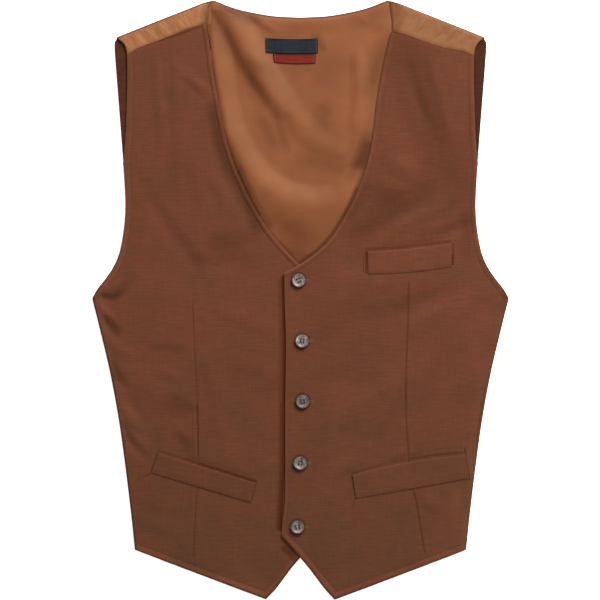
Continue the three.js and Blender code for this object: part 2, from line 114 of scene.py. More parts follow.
# Half widths by height: (y, half)
SIDE_LINE = [(-267.3, 177.7), (-231.8, 181.4), (-180.3, 187.6), (-128.7, 194.8), (-77.2, 204.3),
             (-25.6, 216.5), (1.8, 223.4)]
ARMHOLE_LINE = [(1.8, 223.4), (13.0, 216.9), (25.9, 206.7), (38.8, 198.7), (51.7, 193.8), (77.5, 189.2),
                (103.3, 187.7), (154.8, 190.7), (206.4, 194.6), (257.9, 198.6), (274.0, 199.5),
                (282.0, 198.2)]
FRONT_ARMHOLE_LINE = [(147.0, 190.2), (161.0, 188.7), (172.0, 187.7), (193.0, 186.9), (215.0, 186.2),
                      (240.0, 185.6), (264.0, 186.0)]
# Back neck: (x, y)
NECK_LINE = [(0, 303.2), (30, 304.9), (60, 310.3), (75, 314.5), (91, 320.8), (95, 321.4), (98.6, 318.8)]

# Free edges of the two fronts: (y, x)
UNDER_CUTAWAY = [(-320.9, -37.1), (-309.1, -25.9), (-283.4, -6.6), (-253.0, 20.9)]
UNDER_CLOSING = [(-253.0, 20.9), (25.9, 20.9)]
UNDER_NECKLINE = [(25.9, 20.9), (37.2, -0.5), (48.0, -11.3), (68.4, -29.5), (88.8, -43.5), (107.6, -54.2),
                  (129.0, -64.4), (152.7, -74.1), (184.9, -82.7), (240.7, -93.1), (279.4, -98.5),
                  (296.0, -101.5)]
OVER_CUTAWAY = [(-321.3, 36.5), (-309.1, 25.5), (-283.4, 6.1), (-253.0, -20.7)]
OVER_CLOSING = [(-253.0, -20.7), (-236.1, -19.3), (-214.6, -17.0), (-107.2, -16.6), (-53.5, -15.8),
                (0.2, -17.2), (28.9, -17.9)]
OVER_NECKLINE = [(28.9, -17.9), (33.1, -9.1), (42.6, 6.4), (53.9, 20.9), (64.6, 31.7), (86.1, 45.6),
                 (107.6, 57.0), (145.2, 71.2), (177.4, 77.7), (215.0, 82.2), (257.9, 90.5), (288.0, 97.7)]
# Shoulder seams, from the neck outwards: (distance from the middle, y)
UNDER_SEAM = [(101.5, 296.0), (118.7, 292.3), (134.8, 285.5), (156.3, 276.7), (176.7, 269.2), (185.9, 262.5)]
OVER_SEAM = [(97.7, 288.0), (111.2, 284.8), (133.7, 276.7), (153.0, 270.3), (174.5, 266.6), (185.9, 261.5)]
# Rows of a front: (inner y, outer y, steps of the solid)
UNDER_ROWS = [(-320.9, -268.1, 0), (CLOSING_BOTTOM_Y, -232.0, 6), (-115.0, -115.0, 6), (25.9, UNDERARM_Y, 7),
              (68.4, 54.0, 5), (152.7, 128.0, 4), (230.0, 202.0, 4), (296.0, 262.5, 5)]
OVER_ROWS = [(-321.3, -268.1, 0), (CLOSING_BOTTOM_Y, -232.0, 6), (-115.0, -115.0, 6), (28.9, UNDERARM_Y, 7),
             (70.0, 54.0, 5), (150.0, 128.0, 4), (225.0, 202.0, 4), (288.0, 261.5, 5)]

# Front darts: (y, x), from the hem up; the last row carries the grid on to the shoulder
RIGHT_DART = [(-300.0, -115.5), (-280.1, -114.9), (-243.6, -114.2), (-202.8, -110.4), (-170.6, -109.7),
              (-130.9, -109.7), (-68.6, -112.7), (-19.2, -115.1), (14.1, -116.0), (110.0, -127.0),
              (285.0, -140.0)]
LEFT_DART = [(-300.0, 137.5), (-272.6, 133.0), (-243.6, 128.4), (-213.6, 123.2), (-205.0, 118.6),
             (-170.6, 115.7), (-130.9, 113.1), (-68.6, 112.8), (-19.2, 115.2), (25.9, 116.5),
             (110.0, 127.0), (285.0, 140.0)]

# Welts and labels by their corners: bottom left, bottom right, top right, top left; then how far the
# bottom and top edges bow upwards
CHEST_WELT = ((72.5, 27.8), (161.0, 35.3), (162.2, 61.0), (71.7, 52.2), (-1.7, -1.6))
RIGHT_HIP_WELT = ((-159.9, -185.1), (-53.8, -216.8), (-47.8, -196.3), (-152.3, -163.7), (0.0, 0.0))
LEFT_HIP_WELT = ((59.0, -212.5), (180.2, -191.0), (176.5, -165.8), (55.4, -187.2), (-0.2, 3.4))
NECK_LABEL = ((-37.3, 265.2), (18.6, 264.6), (18.6, 280.6), (-37.5, 281.0), (-1.0, -1.0))
SMALL_LABEL = ((-28.2, 254.6), (16.0, 253.8), (16.4, 264.0), (-29.3, 264.3), (-1.0, -1.0))

BUTTONS = [(-1.9, 21.2), (1.8, -43.6), (2.4, -108.5), (-0.2, -174.4), (-3.2, -242.8)]
BUTTON_RADIUS = 7.75
BUTTON_HEIGHT = 3.2
HOLE_RADIUS = 0.85
HOLE_OFFSET = 1.75
BUTTON_TURNS = (0.42, -0.2, 0.1, -0.1, 0.25)
HORN_TONES = (0.95, 0.98, 0.78, 0.89, 0.82)

CREASE_STRENGTH = 2.3
# Soft creases of the fronts, placed at pixels of the photograph: points, height in mm, reach in mm
FRONT_CREASES = [
    ([(460, 292), (438, 308), (415, 330)], 0.8, 15),
    ([(478, 306), (458, 330), (436, 362)], -0.7, 16),
    ([(470, 372), (446, 400), (420, 436)], 0.6, 16),
    ([(402, 388), (382, 416), (360, 446)], -0.7, 16),
    ([(388, 380), (366, 404), (346, 424)], 0.6, 14),
    ([(400, 290), (368, 298), (335, 312)], -0.7, 13),
    ([(350, 372), (326, 380)], -0.5, 14),
    ([(425, 187), (396, 200), (367, 214)], -0.9, 15),
    ([(450, 196), (405, 222), (366, 248)], 0.8, 15),
    ([(466, 222), (440, 236)], -0.7, 10),
    ([(430, 62), (440, 96), (450, 138)], 0.6, 10),
    ([(408, 66), (414, 92), (424, 122)], -0.6, 10),
    ([(392, 162), (412, 172)], 0.8, 16),
    ([(172, 65), (190, 78), (206, 92)], 0.7, 9),
    ([(170, 60), (170, 84), (168, 106)], -0.5, 7),
    ([(157, 62), (160, 110), (164, 150)], 0.5, 9),
    ([(152, 205), (172, 235), (196, 262)], -0.7, 14),
    ([(214, 180), (232, 212)], 0.6, 12),
    ([(196, 262), (216, 268), (240, 258)], -0.6, 12),
    ([(101, 291), (110, 281), (122, 270)], 0.5, 5),
    ([(103, 297), (112, 297), (122, 293)], -1.0, 8),
    ([(99, 304), (105, 311), (113, 318)], 0.5, 6),
    ([(105, 321), (112, 328), (116, 333)], -0.7, 9),
    ([(106, 340), (118, 348), (134, 356)], 0.5, 10),
    ([(110, 362), (116, 374), (124, 386)], -0.8, 8),
    ([(122, 404), (134, 420), (146, 430)], 0.6, 10),
    ([(120, 426), (130, 442), (142, 454)], -0.9, 9),
    ([(150, 350), (166, 350), (184, 354)], -0.6, 9),
    ([(158, 372), (176, 376)], 0.5, 10),
    ([(170, 398), (184, 406), (196, 414)], -0.6, 10),
    ([(176, 436), (190, 446)], -0.6, 9),
    ([(230, 366), (252, 376), (268, 384)], -0.5, 12),
    ([(268, 330), (246, 318), (222, 312)], 0.5, 14),
    ([(466, 438), (463, 452)], -0.7, 6),
    ([(493, 372), (484, 410), (478, 440)], -0.5, 12),
    ([(350, 462), (330, 474)], 0.5, 12),
    ([(262, 470), (272, 462)], 0.5, 9),
    ([(148, 520), (176, 528)], 0.5, 14),
    ([(424, 500), (440, 506)], 0.5, 12),
]

# Folds of the lining inside the neck, by the same rule, with a reach on the left and right of each line
LINING_FOLDS = [
    ([(210, 14), (211, 40), (214, 70), (218, 100), (225, 130), (241, 160), (259, 185), (286, 201),
      (316, 208), (340, 203), (356, 186)], 4.6, 29, (9, 46)),
    ([(218, 6), (229, 20), (236, 32), (243, 44), (249, 56), (256, 68), (264, 82), (273, 96), (283, 109)],
     4.8, 28, 17),
    ([(278, 98), (290, 114), (302, 130), (318, 142)], 2.2, 26, 18),
    ([(306, 140), (322, 146), (342, 152)], 1.6, 22, 16),
    ([(318, 103), (334, 112)], 1.0, 14, 10),
    ([(356, 56), (358, 90), (354, 128)], 2.2, 20, 10),
    ([(255, 19), (264, 25), (275, 32)], 1.3, 12, 4.5),
    ([(354, 12), (366, 24)], 1.3, 9, 9),
    ([(268, 214), (282, 246)], 0.9, 12, 8),
    ([(300, 224), (322, 234)], 0.8, 14, 10),
]
# How far in from each neck edge the lining stays low: (y, mm)
LOW_BY_LEFT_EDGE = [(30, 6), (90, 9), (120, 8), (150, 3.4), (172, 2.4), (200, 2.6), (260, 2.6),
                    (285, 2.2), (300, 1.6)]
LOW_BY_RIGHT_EDGE = [(30, 5), (90, 6), (120, 5), (145, 6), (175, 5), (195, 3), (240, 3.5), (275, 3.5),
                     (288, 2.5), (300, 1.6)]
# Painted shade on the lining: points, share, reach on the left and right
LINING_SHADES = [
    ([(214, 18), (224, 30), (232, 46), (239, 60), (248, 74), (258, 88), (268, 102)], 0.78, 11, 14),
    ([(212, 10), (218, 20), (223, 30), (229, 41)], 0.8, 8, 7),
    ([(274, 110), (281, 130), (287, 149)], 0.58, 10, 10),
    ([(262, 66), (280, 86), (300, 106)], 0.38, 14, 14),
    ([(318, 132), (340, 146)], 0.35, 14, 14),
    ([(360, 20), (384, 30)], 0.42, 14, 14),
    ([(286, 28), (342, 28)], 0.25, 12, 12),
    ([(260, 116), (267, 130), (276, 146)], 0.45, 12, 12),
    ([(284, 112), (290, 128), (292, 146)], 0.18, 12, 12),
    ([(304, 158), (332, 164), (346, 168)], 0.5, 20, 18),
    ([(330, 96), (322, 118), (322, 136)], 0.45, 20, 20),
    ([(368, 138), (362, 158), (355, 172)], 1.1, 15, 15),
    ([(284, 222), (302, 254)], 0.6, 32, 32),
    ([(286, 250), (306, 257)], 0.75, 18, 18),
    ([(250, 90), (262, 107)], 0.35, 9, 9),
    ([(288, 46), (300, 62), (326, 66), (318, 92)], 0.42, 36, 36),
    ([(224, 46), (244, 62), (266, 70)], 0.5, 12, 12),
    ([(388, 36), (380, 62), (369, 90)], 0.56, 16, 16),
    ([(216, 9), (234, 14), (258, 21)], 1.0, 9, 9),
    ([(346, 26), (384, 12)], 0.3, 16, 16),
    ([(256, 22), (272, 33)], 0.4, 4, 4),
    ([(324, 52), (314, 34)], 0.72, 10, 10),
    ([(208, 3), (210.5, 30)], 0.7, 5, 6),
    ([(354, 141), (349, 153)], 0.3, 8, 8),
]

# Painted shade on the fronts, or painted light where negative: points, share, reach
FRONT_SHADES = [
    ([(213, 108), (219, 142), (229, 168), (240, 187), (250, 206), (258, 228)], 0.66, 12),
    ([(214, 240), (250, 238)], 0.3, 16),
    ([(218, 248), (252, 264)], 0.2, 18),
    ([(166, 62), (166, 100)], 0.22, 7),
    ([(190, 168), (196, 200)], 0.2, 14),
    ([(190, 257), (201, 268)], 0.3, 11),
    ([(104, 295), (112, 298), (119, 296)], 0.8, 7),
    ([(118, 292), (127, 284), (133, 276)], 0.25, 9),
    ([(107, 319), (112, 325), (118, 332)], 0.5, 8),
    ([(112, 369), (118, 380)], 0.35, 7),
    ([(150, 352), (176, 356)], 0.2, 9),
    ([(168, 402), (186, 412)], 0.42, 12),
    ([(181, 439), (188, 449)], 0.5, 10),
    ([(232, 372), (266, 392)], 0.22, 13),
    ([(204, 372), (214, 400)], 0.18, 14),
    ([(150, 505), (180, 515)], 0.15, 12),
    ([(126, 408), (138, 430), (146, 442)], -0.35, 12),
    ([(166, 64), (184, 80)], -0.22, 9),
    ([(224, 204), (226, 214)], -0.2, 9),
    ([(104, 308), (112, 318)], -0.3, 6),
    ([(120, 360), (150, 375), (180, 392)], -0.12, 16),
    ([(236, 560), (262, 588)], -0.2, 16),
    ([(218, 576), (258, 592)], -0.25, 8),
    ([(97, 300), (110, 360), (124, 440)], -0.3, 7),
    ([(125, 235), (119, 262), (103, 288)], -0.4, 6),
    ([(172, 110), (176, 200)], 0.16, 14),
    ([(356, 232), (384, 214), (424, 196)], 0.48, 22),
    ([(420, 236), (462, 226)], 0.25, 10),
    ([(364, 188), (392, 194)], 0.35, 17),
    ([(350, 216), (361, 198)], 0.3, 10),
    ([(478, 235), (486, 262), (502, 286)], -0.4, 6),
    ([(501, 320), (489, 400), (474, 470), (466, 545)], -0.3, 8),
    ([(316, 336), (346, 328)], 0.16, 13),
    ([(466, 215), (468, 255)], 0.3, 10),
    ([(470, 108), (470, 140)], 0.2, 8),
    ([(402, 40), (422, 90), (440, 140), (458, 196)], 0.36, 42),
    ([(421, 92), (430, 116), (440, 142)], 0.15, 10),
    ([(326, 318), (362, 309), (400, 302), (452, 287)], 0.3, 18),
    ([(448, 350), (430, 376)], 0.14, 15),
    ([(398, 406), (376, 434)], 0.14, 15),
    ([(318, 376), (346, 378)], 0.15, 13),
    ([(400, 222), (424, 210), (444, 205)], -0.22, 10),
    ([(410, 315), (470, 300), (490, 318)], -0.2, 18),
    ([(350, 400), (385, 388), (420, 360)], -0.12, 20),
    ([(467, 440), (470, 470)], -0.35, 9),
    ([(455, 490), (462, 540)], -0.25, 16),
    ([(300, 560), (335, 580), (370, 565), (450, 548)], -0.15, 22),
    ([(470, 330), (490, 380), (478, 430)], -0.12, 18),
    ([(345, 272), (372, 272), (378, 284)], -0.15, 14),
]

# Puckers of the two straps
STRAP_PUCKERS = [
    ([(199, 8), (196, 24)], 0.45, 3.0),
    ([(188, 12), (190, 28)], -0.4, 2.4),
    ([(178, 16), (182, 31)], 0.5, 3.5),
    ([(167, 22), (172, 33)], -0.7, 2.6),
    ([(160, 26), (162, 37)], 0.5, 2.8),
    ([(152, 28), (157, 38)], -0.4, 2.2),
    ([(146, 31), (151, 41)], 0.5, 2.4),
    ([(140, 33), (147, 44)], -0.7, 2.3),
    ([(134, 36), (141, 46)], 0.5, 2.4),
    ([(130, 38), (137, 49)], -0.6, 2.2),
    ([(122, 42), (130, 52)], 0.4, 2.4),
    ([(403, 11), (398, 24)], -0.5, 2.2),
    ([(408, 12), (403, 25)], 0.5, 2.4),
    ([(414, 14), (408, 26)], -0.5, 2.3),
    ([(424, 18), (418, 30)], 0.5, 3.8),
    ([(440, 24), (436, 33)], 0.4, 3.4),
    ([(448, 26), (443, 36)], -0.6, 2.1),
    ([(453, 29), (449, 38)], 0.5, 2.2),
    ([(458, 32), (453, 41)], -0.7, 2.2),
    ([(465, 35), (461, 44)], 0.5, 2.4),
    ([(471, 38), (467, 47)], -0.6, 2.1),
    ([(476, 41), (473, 49)], 0.3, 2.2),
]

# Painted shadows on the fronts beside their pockets and shoulder seams, partly the seams' own dark line:
# points, half width, softness, share
RIGHT_PAINTED_SHADOWS = [
    ([(159, 450), (184, 458)], 0.3, 1.3, 0.31),
    ([(184, 458), (202, 464)], 0.5, 1.7, 0.58),
    ([(202, 464), (228, 472), (256, 481)], 0.7, 1.9, 0.78),
    ([(190, 457), (222, 467), (250, 475)], 0.5, 5.0, 0.23),
    ([(152, 473.5), (176, 481)], 0.2, 1.2, 0.2),
    ([(176, 480.6), (195, 486.4), (222, 494.5), (250, 503)], 0.3, 1.4, 0.36),
    ([(158, 452), (151, 472)], 0.1, 1.3, 0.39),
    ([(151, 472.5), (148, 475), (145, 476)], 0.3, 2.2, 0.39),
    ([(256, 483), (251, 503)], 0.1, 1.2, 0.39),
    ([(193, 458), (194.5, 461)], 0.6, 2.6, 0.39),
    ([(125, 56), (133, 50), (152, 43.5), (178, 35.5), (200, 27.5)], 0.3, 1.4, 0.6),
    ([(206, 30), (207.5, 40)], 0.3, 1.2, 0.4),
    ([(284, 548), (296, 560)], 1.0, 4.0, 0.6),
]
LEFT_PAINTED_SHADOWS = [
    ([(366, 252), (365.8, 273)], 0.5, 1.0, 0.7),
    ([(363.4, 256), (363.2, 272)], 0.1, 1.1, 0.47),
    ([(367, 249.5), (399, 247.5), (420, 245), (449, 241.5)], 0.4, 1.9, 0.51),
    ([(385, 246), (405, 244), (440, 240)], 0.5, 5.0, 0.23),
    ([(367, 275), (411, 272.8), (440, 269.5)], 0.1, 1.4, 0.15),
    ([(453, 244), (452.8, 258)], 0.2, 1.3, 0.47),
    ([(452.6, 256), (452.4, 264)], 0.7, 1.3, 0.78),
    ([(352, 473), (383, 463.3), (408, 458.6)], 0.3, 1.4, 0.35),
    ([(408, 458.6), (433, 454.6), (465, 452)], 0.4, 1.6, 0.51),
    ([(392, 459), (420, 453)], 0.5, 5.0, 0.27),
    ([(464.6, 449), (465.2, 456)], 0.5, 1.2, 0.7),
    ([(465.5, 456), (469, 478)], 0.1, 1.3, 0.47),
    ([(468.3, 475), (468.8, 479)], 0.6, 1.2, 0.7),
    ([(356, 499), (383, 494.4)], 0.2, 1.3, 0.15),
    ([(383, 494.4), (408, 489.8), (433, 485), (467, 479)], 0.3, 1.4, 0.28),
    ([(351.6, 475), (355.4, 499)], 0.1, 1.3, 0.39),
    ([(354, 500), (353, 505)], 0.2, 1.8, 0.31),
    ([(391, 32), (404, 34.5), (425, 42), (442, 48), (460, 51), (473, 56)], 0.3, 1.4, 0.6),
]

# Sewn lines: how far in from each free edge, and the groove they pull
NECK_STITCH = 5.0
HEM_STITCH = 7.0
ARMHOLE_STITCH = 6.0
GROOVE_DEPTH = 0.32
GROOVE_REACH = 0.9
NECK_BEAD = 1.0
HEM_BEAD = 0.8
BEAD_UNEVENNESS = 0.5
BEAD_WAVE = 8.0
EDGE_CURL = -0.3
SEAM_DIP = 0.3
SEAM_REACH = 1.3
UNDER_STRAP_LIFT = 0.5
DART_DEPTH = 0.36
DART_REACH = 0.9
DART_LIP = 0.16
DART_LIP_AT = 2.2
DART_LIP_REACH = 1.4
# Creases die out between these distances from a button's middle
BUTTON_CALM = (10, 24)
# How sharply the higher of two folds wins where they cross
FOLD_BLEND = 2.2


def ease(low, high, value):
    t = min(1.0, max(0.0, (value - low) / (high - low)))
    return t * t * (3 - 2 * t)


def mix(a, b, t):
    return a + (b - a) * t


def through(rows, at):
    """Smooth value through a table of (key, value) rows, carried on straight past its ends"""
    last = len(rows) - 1
    i = 0
    while i < last - 1 and at > rows[i + 1][0]:
        i += 1

    def slope(k):
        a = max(0, k - 1)
        b = min(last, k + 1)
        return (rows[b][1] - rows[a][1]) / (rows[b][0] - rows[a][0])

    span = rows[i + 1][0] - rows[i][0]
    t = (at - rows[i][0]) / span
    if t < 0:
        return rows[i][1] + slope(i) * (at - rows[i][0])
    if t > 1:
        return rows[i + 1][1] + slope(i + 1) * (at - rows[i + 1][0])
    t2 = t * t
    t3 = t2 * t
    return ((2 * t3 - 3 * t2 + 1) * rows[i][1] + (t3 - 2 * t2 + t) * slope(i) * span
            + (3 * t2 - 2 * t3) * rows[i + 1][1] + (t3 - t2) * slope(i + 1) * span)


def side_half(y):
    return through(SIDE_LINE, y)


def armhole_half(y):
    return through(ARMHOLE_LINE, y)


def front_armhole_half(y):
    return armhole_half(y) if y < FRONT_ARMHOLE_LINE[0][0] else through(FRONT_ARMHOLE_LINE, y)


def outline_half(y):
    return side_half(y) if y < UNDERARM_Y else armhole_half(y)


def side_line_half(y):
    slope = (side_half(UNDERARM_Y) - side_half(UNDERARM_Y - 20)) / 20
    return side_half(y) if y < UNDERARM_Y else side_half(UNDERARM_Y) + slope * (y - UNDERARM_Y)


def shoulder_line(x):
    t = (abs(x) - SHOULDER_NECK[0]) / (SHOULDER_TIP[0] - SHOULDER_NECK[0])
    return mix(SHOULDER_NECK[1], SHOULDER_TIP[1], t)


def gap_to_segment(px, py, ax, ay, bx, by):
    dx = bx - ax
    dy = by - ay
    t = ((px - ax) * dx + (py - ay) * dy) / (dx * dx + dy * dy)
    t = min(1.0, max(0.0, t))
    return math.hypot(px - ax - dx * t, py - ay - dy * t), t


def gap_to_line(px, py, line):
    """Distance to a line of points, and how far along it the nearest point is, from 0 to 1"""
    nearest = 1e9
    along = 0.0
    count = len(line) - 1
    for k in range(count):
        gap, t = gap_to_segment(px, py, *line[k], *line[k + 1])
        if gap < nearest:
            nearest = gap
            along = (k + t) / count
    return nearest, along


class Crease:
    """A soft ridge or trough along a line, fading out sideways and at its two ends"""

    def __init__(self, points, height, left_reach, right_reach=None, fade=0.22):
        self.line = at_pixels(points)
        self.height = height
        self.left_reach = left_reach
        self.right_reach = right_reach or left_reach
        self.fade = fade
        reach = max(left_reach, max(right_reach) if isinstance(right_reach, tuple) else right_reach or 0)
        xs = [p[0] for p in self.line]
        ys = [p[1] for p in self.line]
        self.low = (min(xs) - reach, min(ys) - reach)
        self.high = (max(xs) + reach, max(ys) + reach)

    def reach_at(self, on_left, along):
        reach = self.left_reach if on_left else self.right_reach
        return mix(*reach, ease(0.45, 0.8, along)) if isinstance(reach, tuple) else reach

    def rise(self, x, y):
        if not (self.low[0] < x < self.high[0] and self.low[1] < y < self.high[1]):
            return 0.0
        gap, along = gap_to_line(x, y, self.line)
        k = min(len(self.line) - 2, int(along * (len(self.line) - 1)))
        (ax, ay), (bx, by) = self.line[k], self.line[k + 1]
        on_left = (bx - ax) * (y - ay) - (by - ay) * (x - ax) > 0
        reach = self.reach_at(on_left, along)
        if gap > reach:
            return 0.0
        ends = ease(-0.25, self.fade, along) * (1 - ease(1 - self.fade, 1.25, along))
        return self.height * ends * (1 - ease(0, reach, gap))


front_creases = [Crease(*row) for row in FRONT_CREASES]
lining_folds = [Crease(*row, fade=0.12) for row in LINING_FOLDS]
lining_shades = [Crease(*row, fade=0.2) for row in LINING_SHADES]
strap_puckers = [Crease(*row) for row in STRAP_PUCKERS]
front_shades = [Crease(*row, fade=0.12) for row in FRONT_SHADES]


def front_shade(x, y):
    """How much painted shade darkens a front; below 0 it is painted light"""
    return sum(shade.rise(x, y) for shade in front_shades)


class Front:
    """One front of the waistcoat: its edges, its height over the surface and what is sewn into it"""

    def __init__(self, side, lap, rows, seam, cutaway, closing, neckline, dart):
        self.side = side
        self.lap = lap
        self.rows = rows
        self.seam = seam
        self.cutaway = cutaway
        self.closing = closing
        self.neckline = neckline
        self.dart = dart
        self.hem_line = [(side * side_half(rows[0][1]), rows[0][1]), (cutaway[0][1], cutaway[0][0])]
        armhole = [(side * front_armhole_half(y), y) for y in self.steps(UNDERARM_Y, 262.0, 26)]
        self.stitched_edges = [
            (self.hem_line, HEM_STITCH),
            (self.sample(cutaway, 6), HEM_STITCH),
            (self.sample(neckline, 26), NECK_STITCH),
            (armhole[::-1], ARMHOLE_STITCH),
        ]
        self.closing_line = self.sample(closing, 8)
        self.seam_line = [(side * x, y) for x, y in seam]

    @staticmethod
    def steps(low, high, count):
        return [mix(low, high, k / count) for k in range(count + 1)]

    def sample(self, table, count):
        return [(through(table, y), y) for y in self.steps(table[0][0], table[-1][0], count)]

    def inner_edge(self, y):
        if y < self.cutaway[-1][0]:
            return through(self.cutaway, y)
        if y < self.closing[-1][0]:
            return through(self.closing, y)
        return through(self.neckline, y)

    def edge_gap(self, x, y):
        """Distance to the nearest free edge, and where that edge's sewn line runs"""
        gap = gap_to_line(x, y, self.closing_line)[0]
        stitch = 0.0
        for line, inset in self.stitched_edges:
            other = gap_to_line(x, y, line)[0]
            if other < gap:
                gap = other
                stitch = inset
        return gap, stitch

    def base_height(self, x, y):
        """Height of the cloth's middle in the solid: low at its free edges, softly crowned between"""
        opening = max(0.0, (OVER.inner_edge(y) - UNDER.inner_edge(y)) / 2)
        inner = 0.0 if y < UNDER.closing[-1][0] else opening
        outer = outline_half(y) - SIDE_ROLL
        across = min(1.0, max(0.0, (abs(x) - inner) / (outer - inner)))
        edge = mix(SIDE_HEIGHT, ARMHOLE_HEIGHT, ease(UNDERARM_Y, 32, y))
        crown = CROWN * ease(-345, -200, y) * (1 - 0.7 * ease(150, 260, y))
        crowned = mix(EDGE_HEIGHT, edge, ease(0, 1, across)) + crown * math.sin(math.pi * across)
        to_seam = 1 - ease(30, 75, shoulder_line(x) - y)
        drop = HEM_DROP * (1 - ease(-294, -266, y)) * (1 - ease(0.7, 1, across))
        lift = self.lap * (1 - ease(27, 54, x)) * (1 - ease(48, 86, y)) * ease(-310, -279, y)
        return mix(crowned, SHOULDER_HEIGHT, to_seam) - drop + lift

    def draped_height(self, x, y):
        """The same with the cloth's soft creases, which die out under the buttons and at the folded side"""
        calm = ease(0, 9, outline_half(y) - SIDE_ROLL - abs(x) + 5)
        for bx, by in BUTTONS:
            gap = math.hypot(x - bx, y - by)
            if gap < BUTTON_CALM[1]:
                calm *= ease(*BUTTON_CALM, gap)
        rise = CREASE_STRENGTH * sum(crease.rise(x, y) for crease in front_creases) * calm
        if self.lap and x < 0:
            near_edge = 1 - ease(0, 5, x - self.inner_edge(y))
            rise += EDGE_CURL * near_edge * ease(-262, -240, y) * (1 - ease(18, 32, y))
        return self.base_height(x, y) + rise

    def sewn_rise(self, x, y, gap, stitch):
        """Puffed edge with the groove of its sewn line, and the pressed groove of the dart"""
        rise = 0.0
        if stitch and gap < 16:
            bead = NECK_BEAD if stitch == NECK_STITCH else HEM_BEAD
            bead *= 1 + BEAD_UNEVENNESS * noise.noise(Vector((x / BEAD_WAVE, y / BEAD_WAVE, 3.0)))
            rise += bead * ease(-0.3, 1.5, gap) * (1 - ease(1.5, stitch + 1.5, gap))
            rise -= GROOVE_DEPTH * math.exp(-((gap - stitch) / GROOVE_REACH) ** 2)
        if y > 255:
            rise -= SEAM_DIP * math.exp(-(gap_to_line(x, y, self.seam_line)[0] / SEAM_REACH) ** 2)
        off = x - through(self.dart, y)
        if abs(off) < 6:
            low = ease(self.dart[1][0] - 14, self.dart[1][0] + 6, y)
            high = 1 - ease(self.dart[-3][0] - 16, self.dart[-3][0], y)
            fold = -DART_DEPTH * math.exp(-(off / DART_REACH) ** 2)
            fold += DART_LIP * math.exp(-((off * self.side - DART_LIP_AT) / DART_LIP_REACH) ** 2)
            rise += fold * low * high
        return rise

    def top(self, x, y):
        """Height of the cloth's upper face"""
        gap, stitch = self.edge_gap(x, y)
        return self.draped_height(x, y) + self.sewn_rise(x, y, gap, stitch) + FRONT_WALL / 2


UNDER = Front(-1, 0.0, UNDER_ROWS, UNDER_SEAM, UNDER_CUTAWAY, UNDER_CLOSING, UNDER_NECKLINE, RIGHT_DART)
OVER = Front(1, FRONT_WALL + LAY_GAP, OVER_ROWS, OVER_SEAM, OVER_CUTAWAY, OVER_CLOSING, OVER_NECKLINE,
             LEFT_DART)


def neck_y(x):
    return through(NECK_LINE, abs(x))


def lining_rise(x, y):
    """How far the lining lifts off the surface in the neck and armholes; it stays low under the fronts"""
    if abs(x) > 160 and y > 140:
        outside = ease(-1.5, 1.5, abs(x) - front_armhole_half(y))
        return ARMHOLE_LIFT * outside * ease(150, 175, y) * (1 - ease(255, 275, y))
    if y < 15 or abs(x) > 105:
        return 0.0
    left = x - UNDER.inner_edge(max(y, 26.0))
    right = OVER.inner_edge(max(y, 29.0)) - x
    low_left = through(LOW_BY_LEFT_EDGE, y)
    low_right = through(LOW_BY_RIGHT_EDGE, y)
    inside = ease(-1.5, low_left, left) * ease(-1.5, low_right, right) * ease(-1, 10, neck_y(x) - y)
    folds = sum(max(0.0, fold.rise(x, y)) ** FOLD_BLEND for fold in lining_folds) ** (1 / FOLD_BLEND) * inside
    under_strap = UNDER_STRAP_LIFT * ease(286, 301, y) * ease(80, 93, abs(x)) * (1 - ease(100, 105, abs(x)))
    level = NECK_LIFT * ease(-4, -1, left) * ease(-4, -1, right) * ease(45, 75, y)
    level *= ease(-1, 6, neck_y(x) - y)
    return max(folds, level, under_strap * ease(-2, 3, neck_y(min(abs(x), 98)) - y))


def lining_shade(x, y):
    """How much painted shade darkens the lining, from 0 to 1"""
    # Painted shade inside the right armhole
    if x > 160:
        return 0.32 * ease(130, 150, y)
    if abs(x) >= 104 or y <= 15:
        return 0.0
    return max(0.0, max(shade.rise(x, y) for shade in lining_shades))


def back_height(x, y):
    return BACK_WALL / 2 + lining_rise(x, y)


# Distances from a free edge and from a dart at which a row has its points, and the spacing elsewhere
EDGE_STATIONS = [0, 0.25, 0.7, 1.4, 2.4, 3.4, 4.2, 4.8, 5.4, 6.0, 6.6, 7.2, 8.0, 9.4, 11.6]
DART_STATIONS = [-4.0, -2.4, -1.3, -0.6, 0, 0.6, 1.3, 2.4, 4.0]
STRIP_STATIONS = [0, 0.25, 0.7, 1.3]
SPACING = 2.8
EDGE_GAP_LIMIT = 30.0


def half_thickness(wall, gap):
    """Half the cloth's thickness at a distance from its free edge, which is rounded"""
    rim = min(1.0, gap / (wall * 0.6))
    return wall / 2 * max(0.22, math.sqrt(1 - (1 - rim) ** 2))


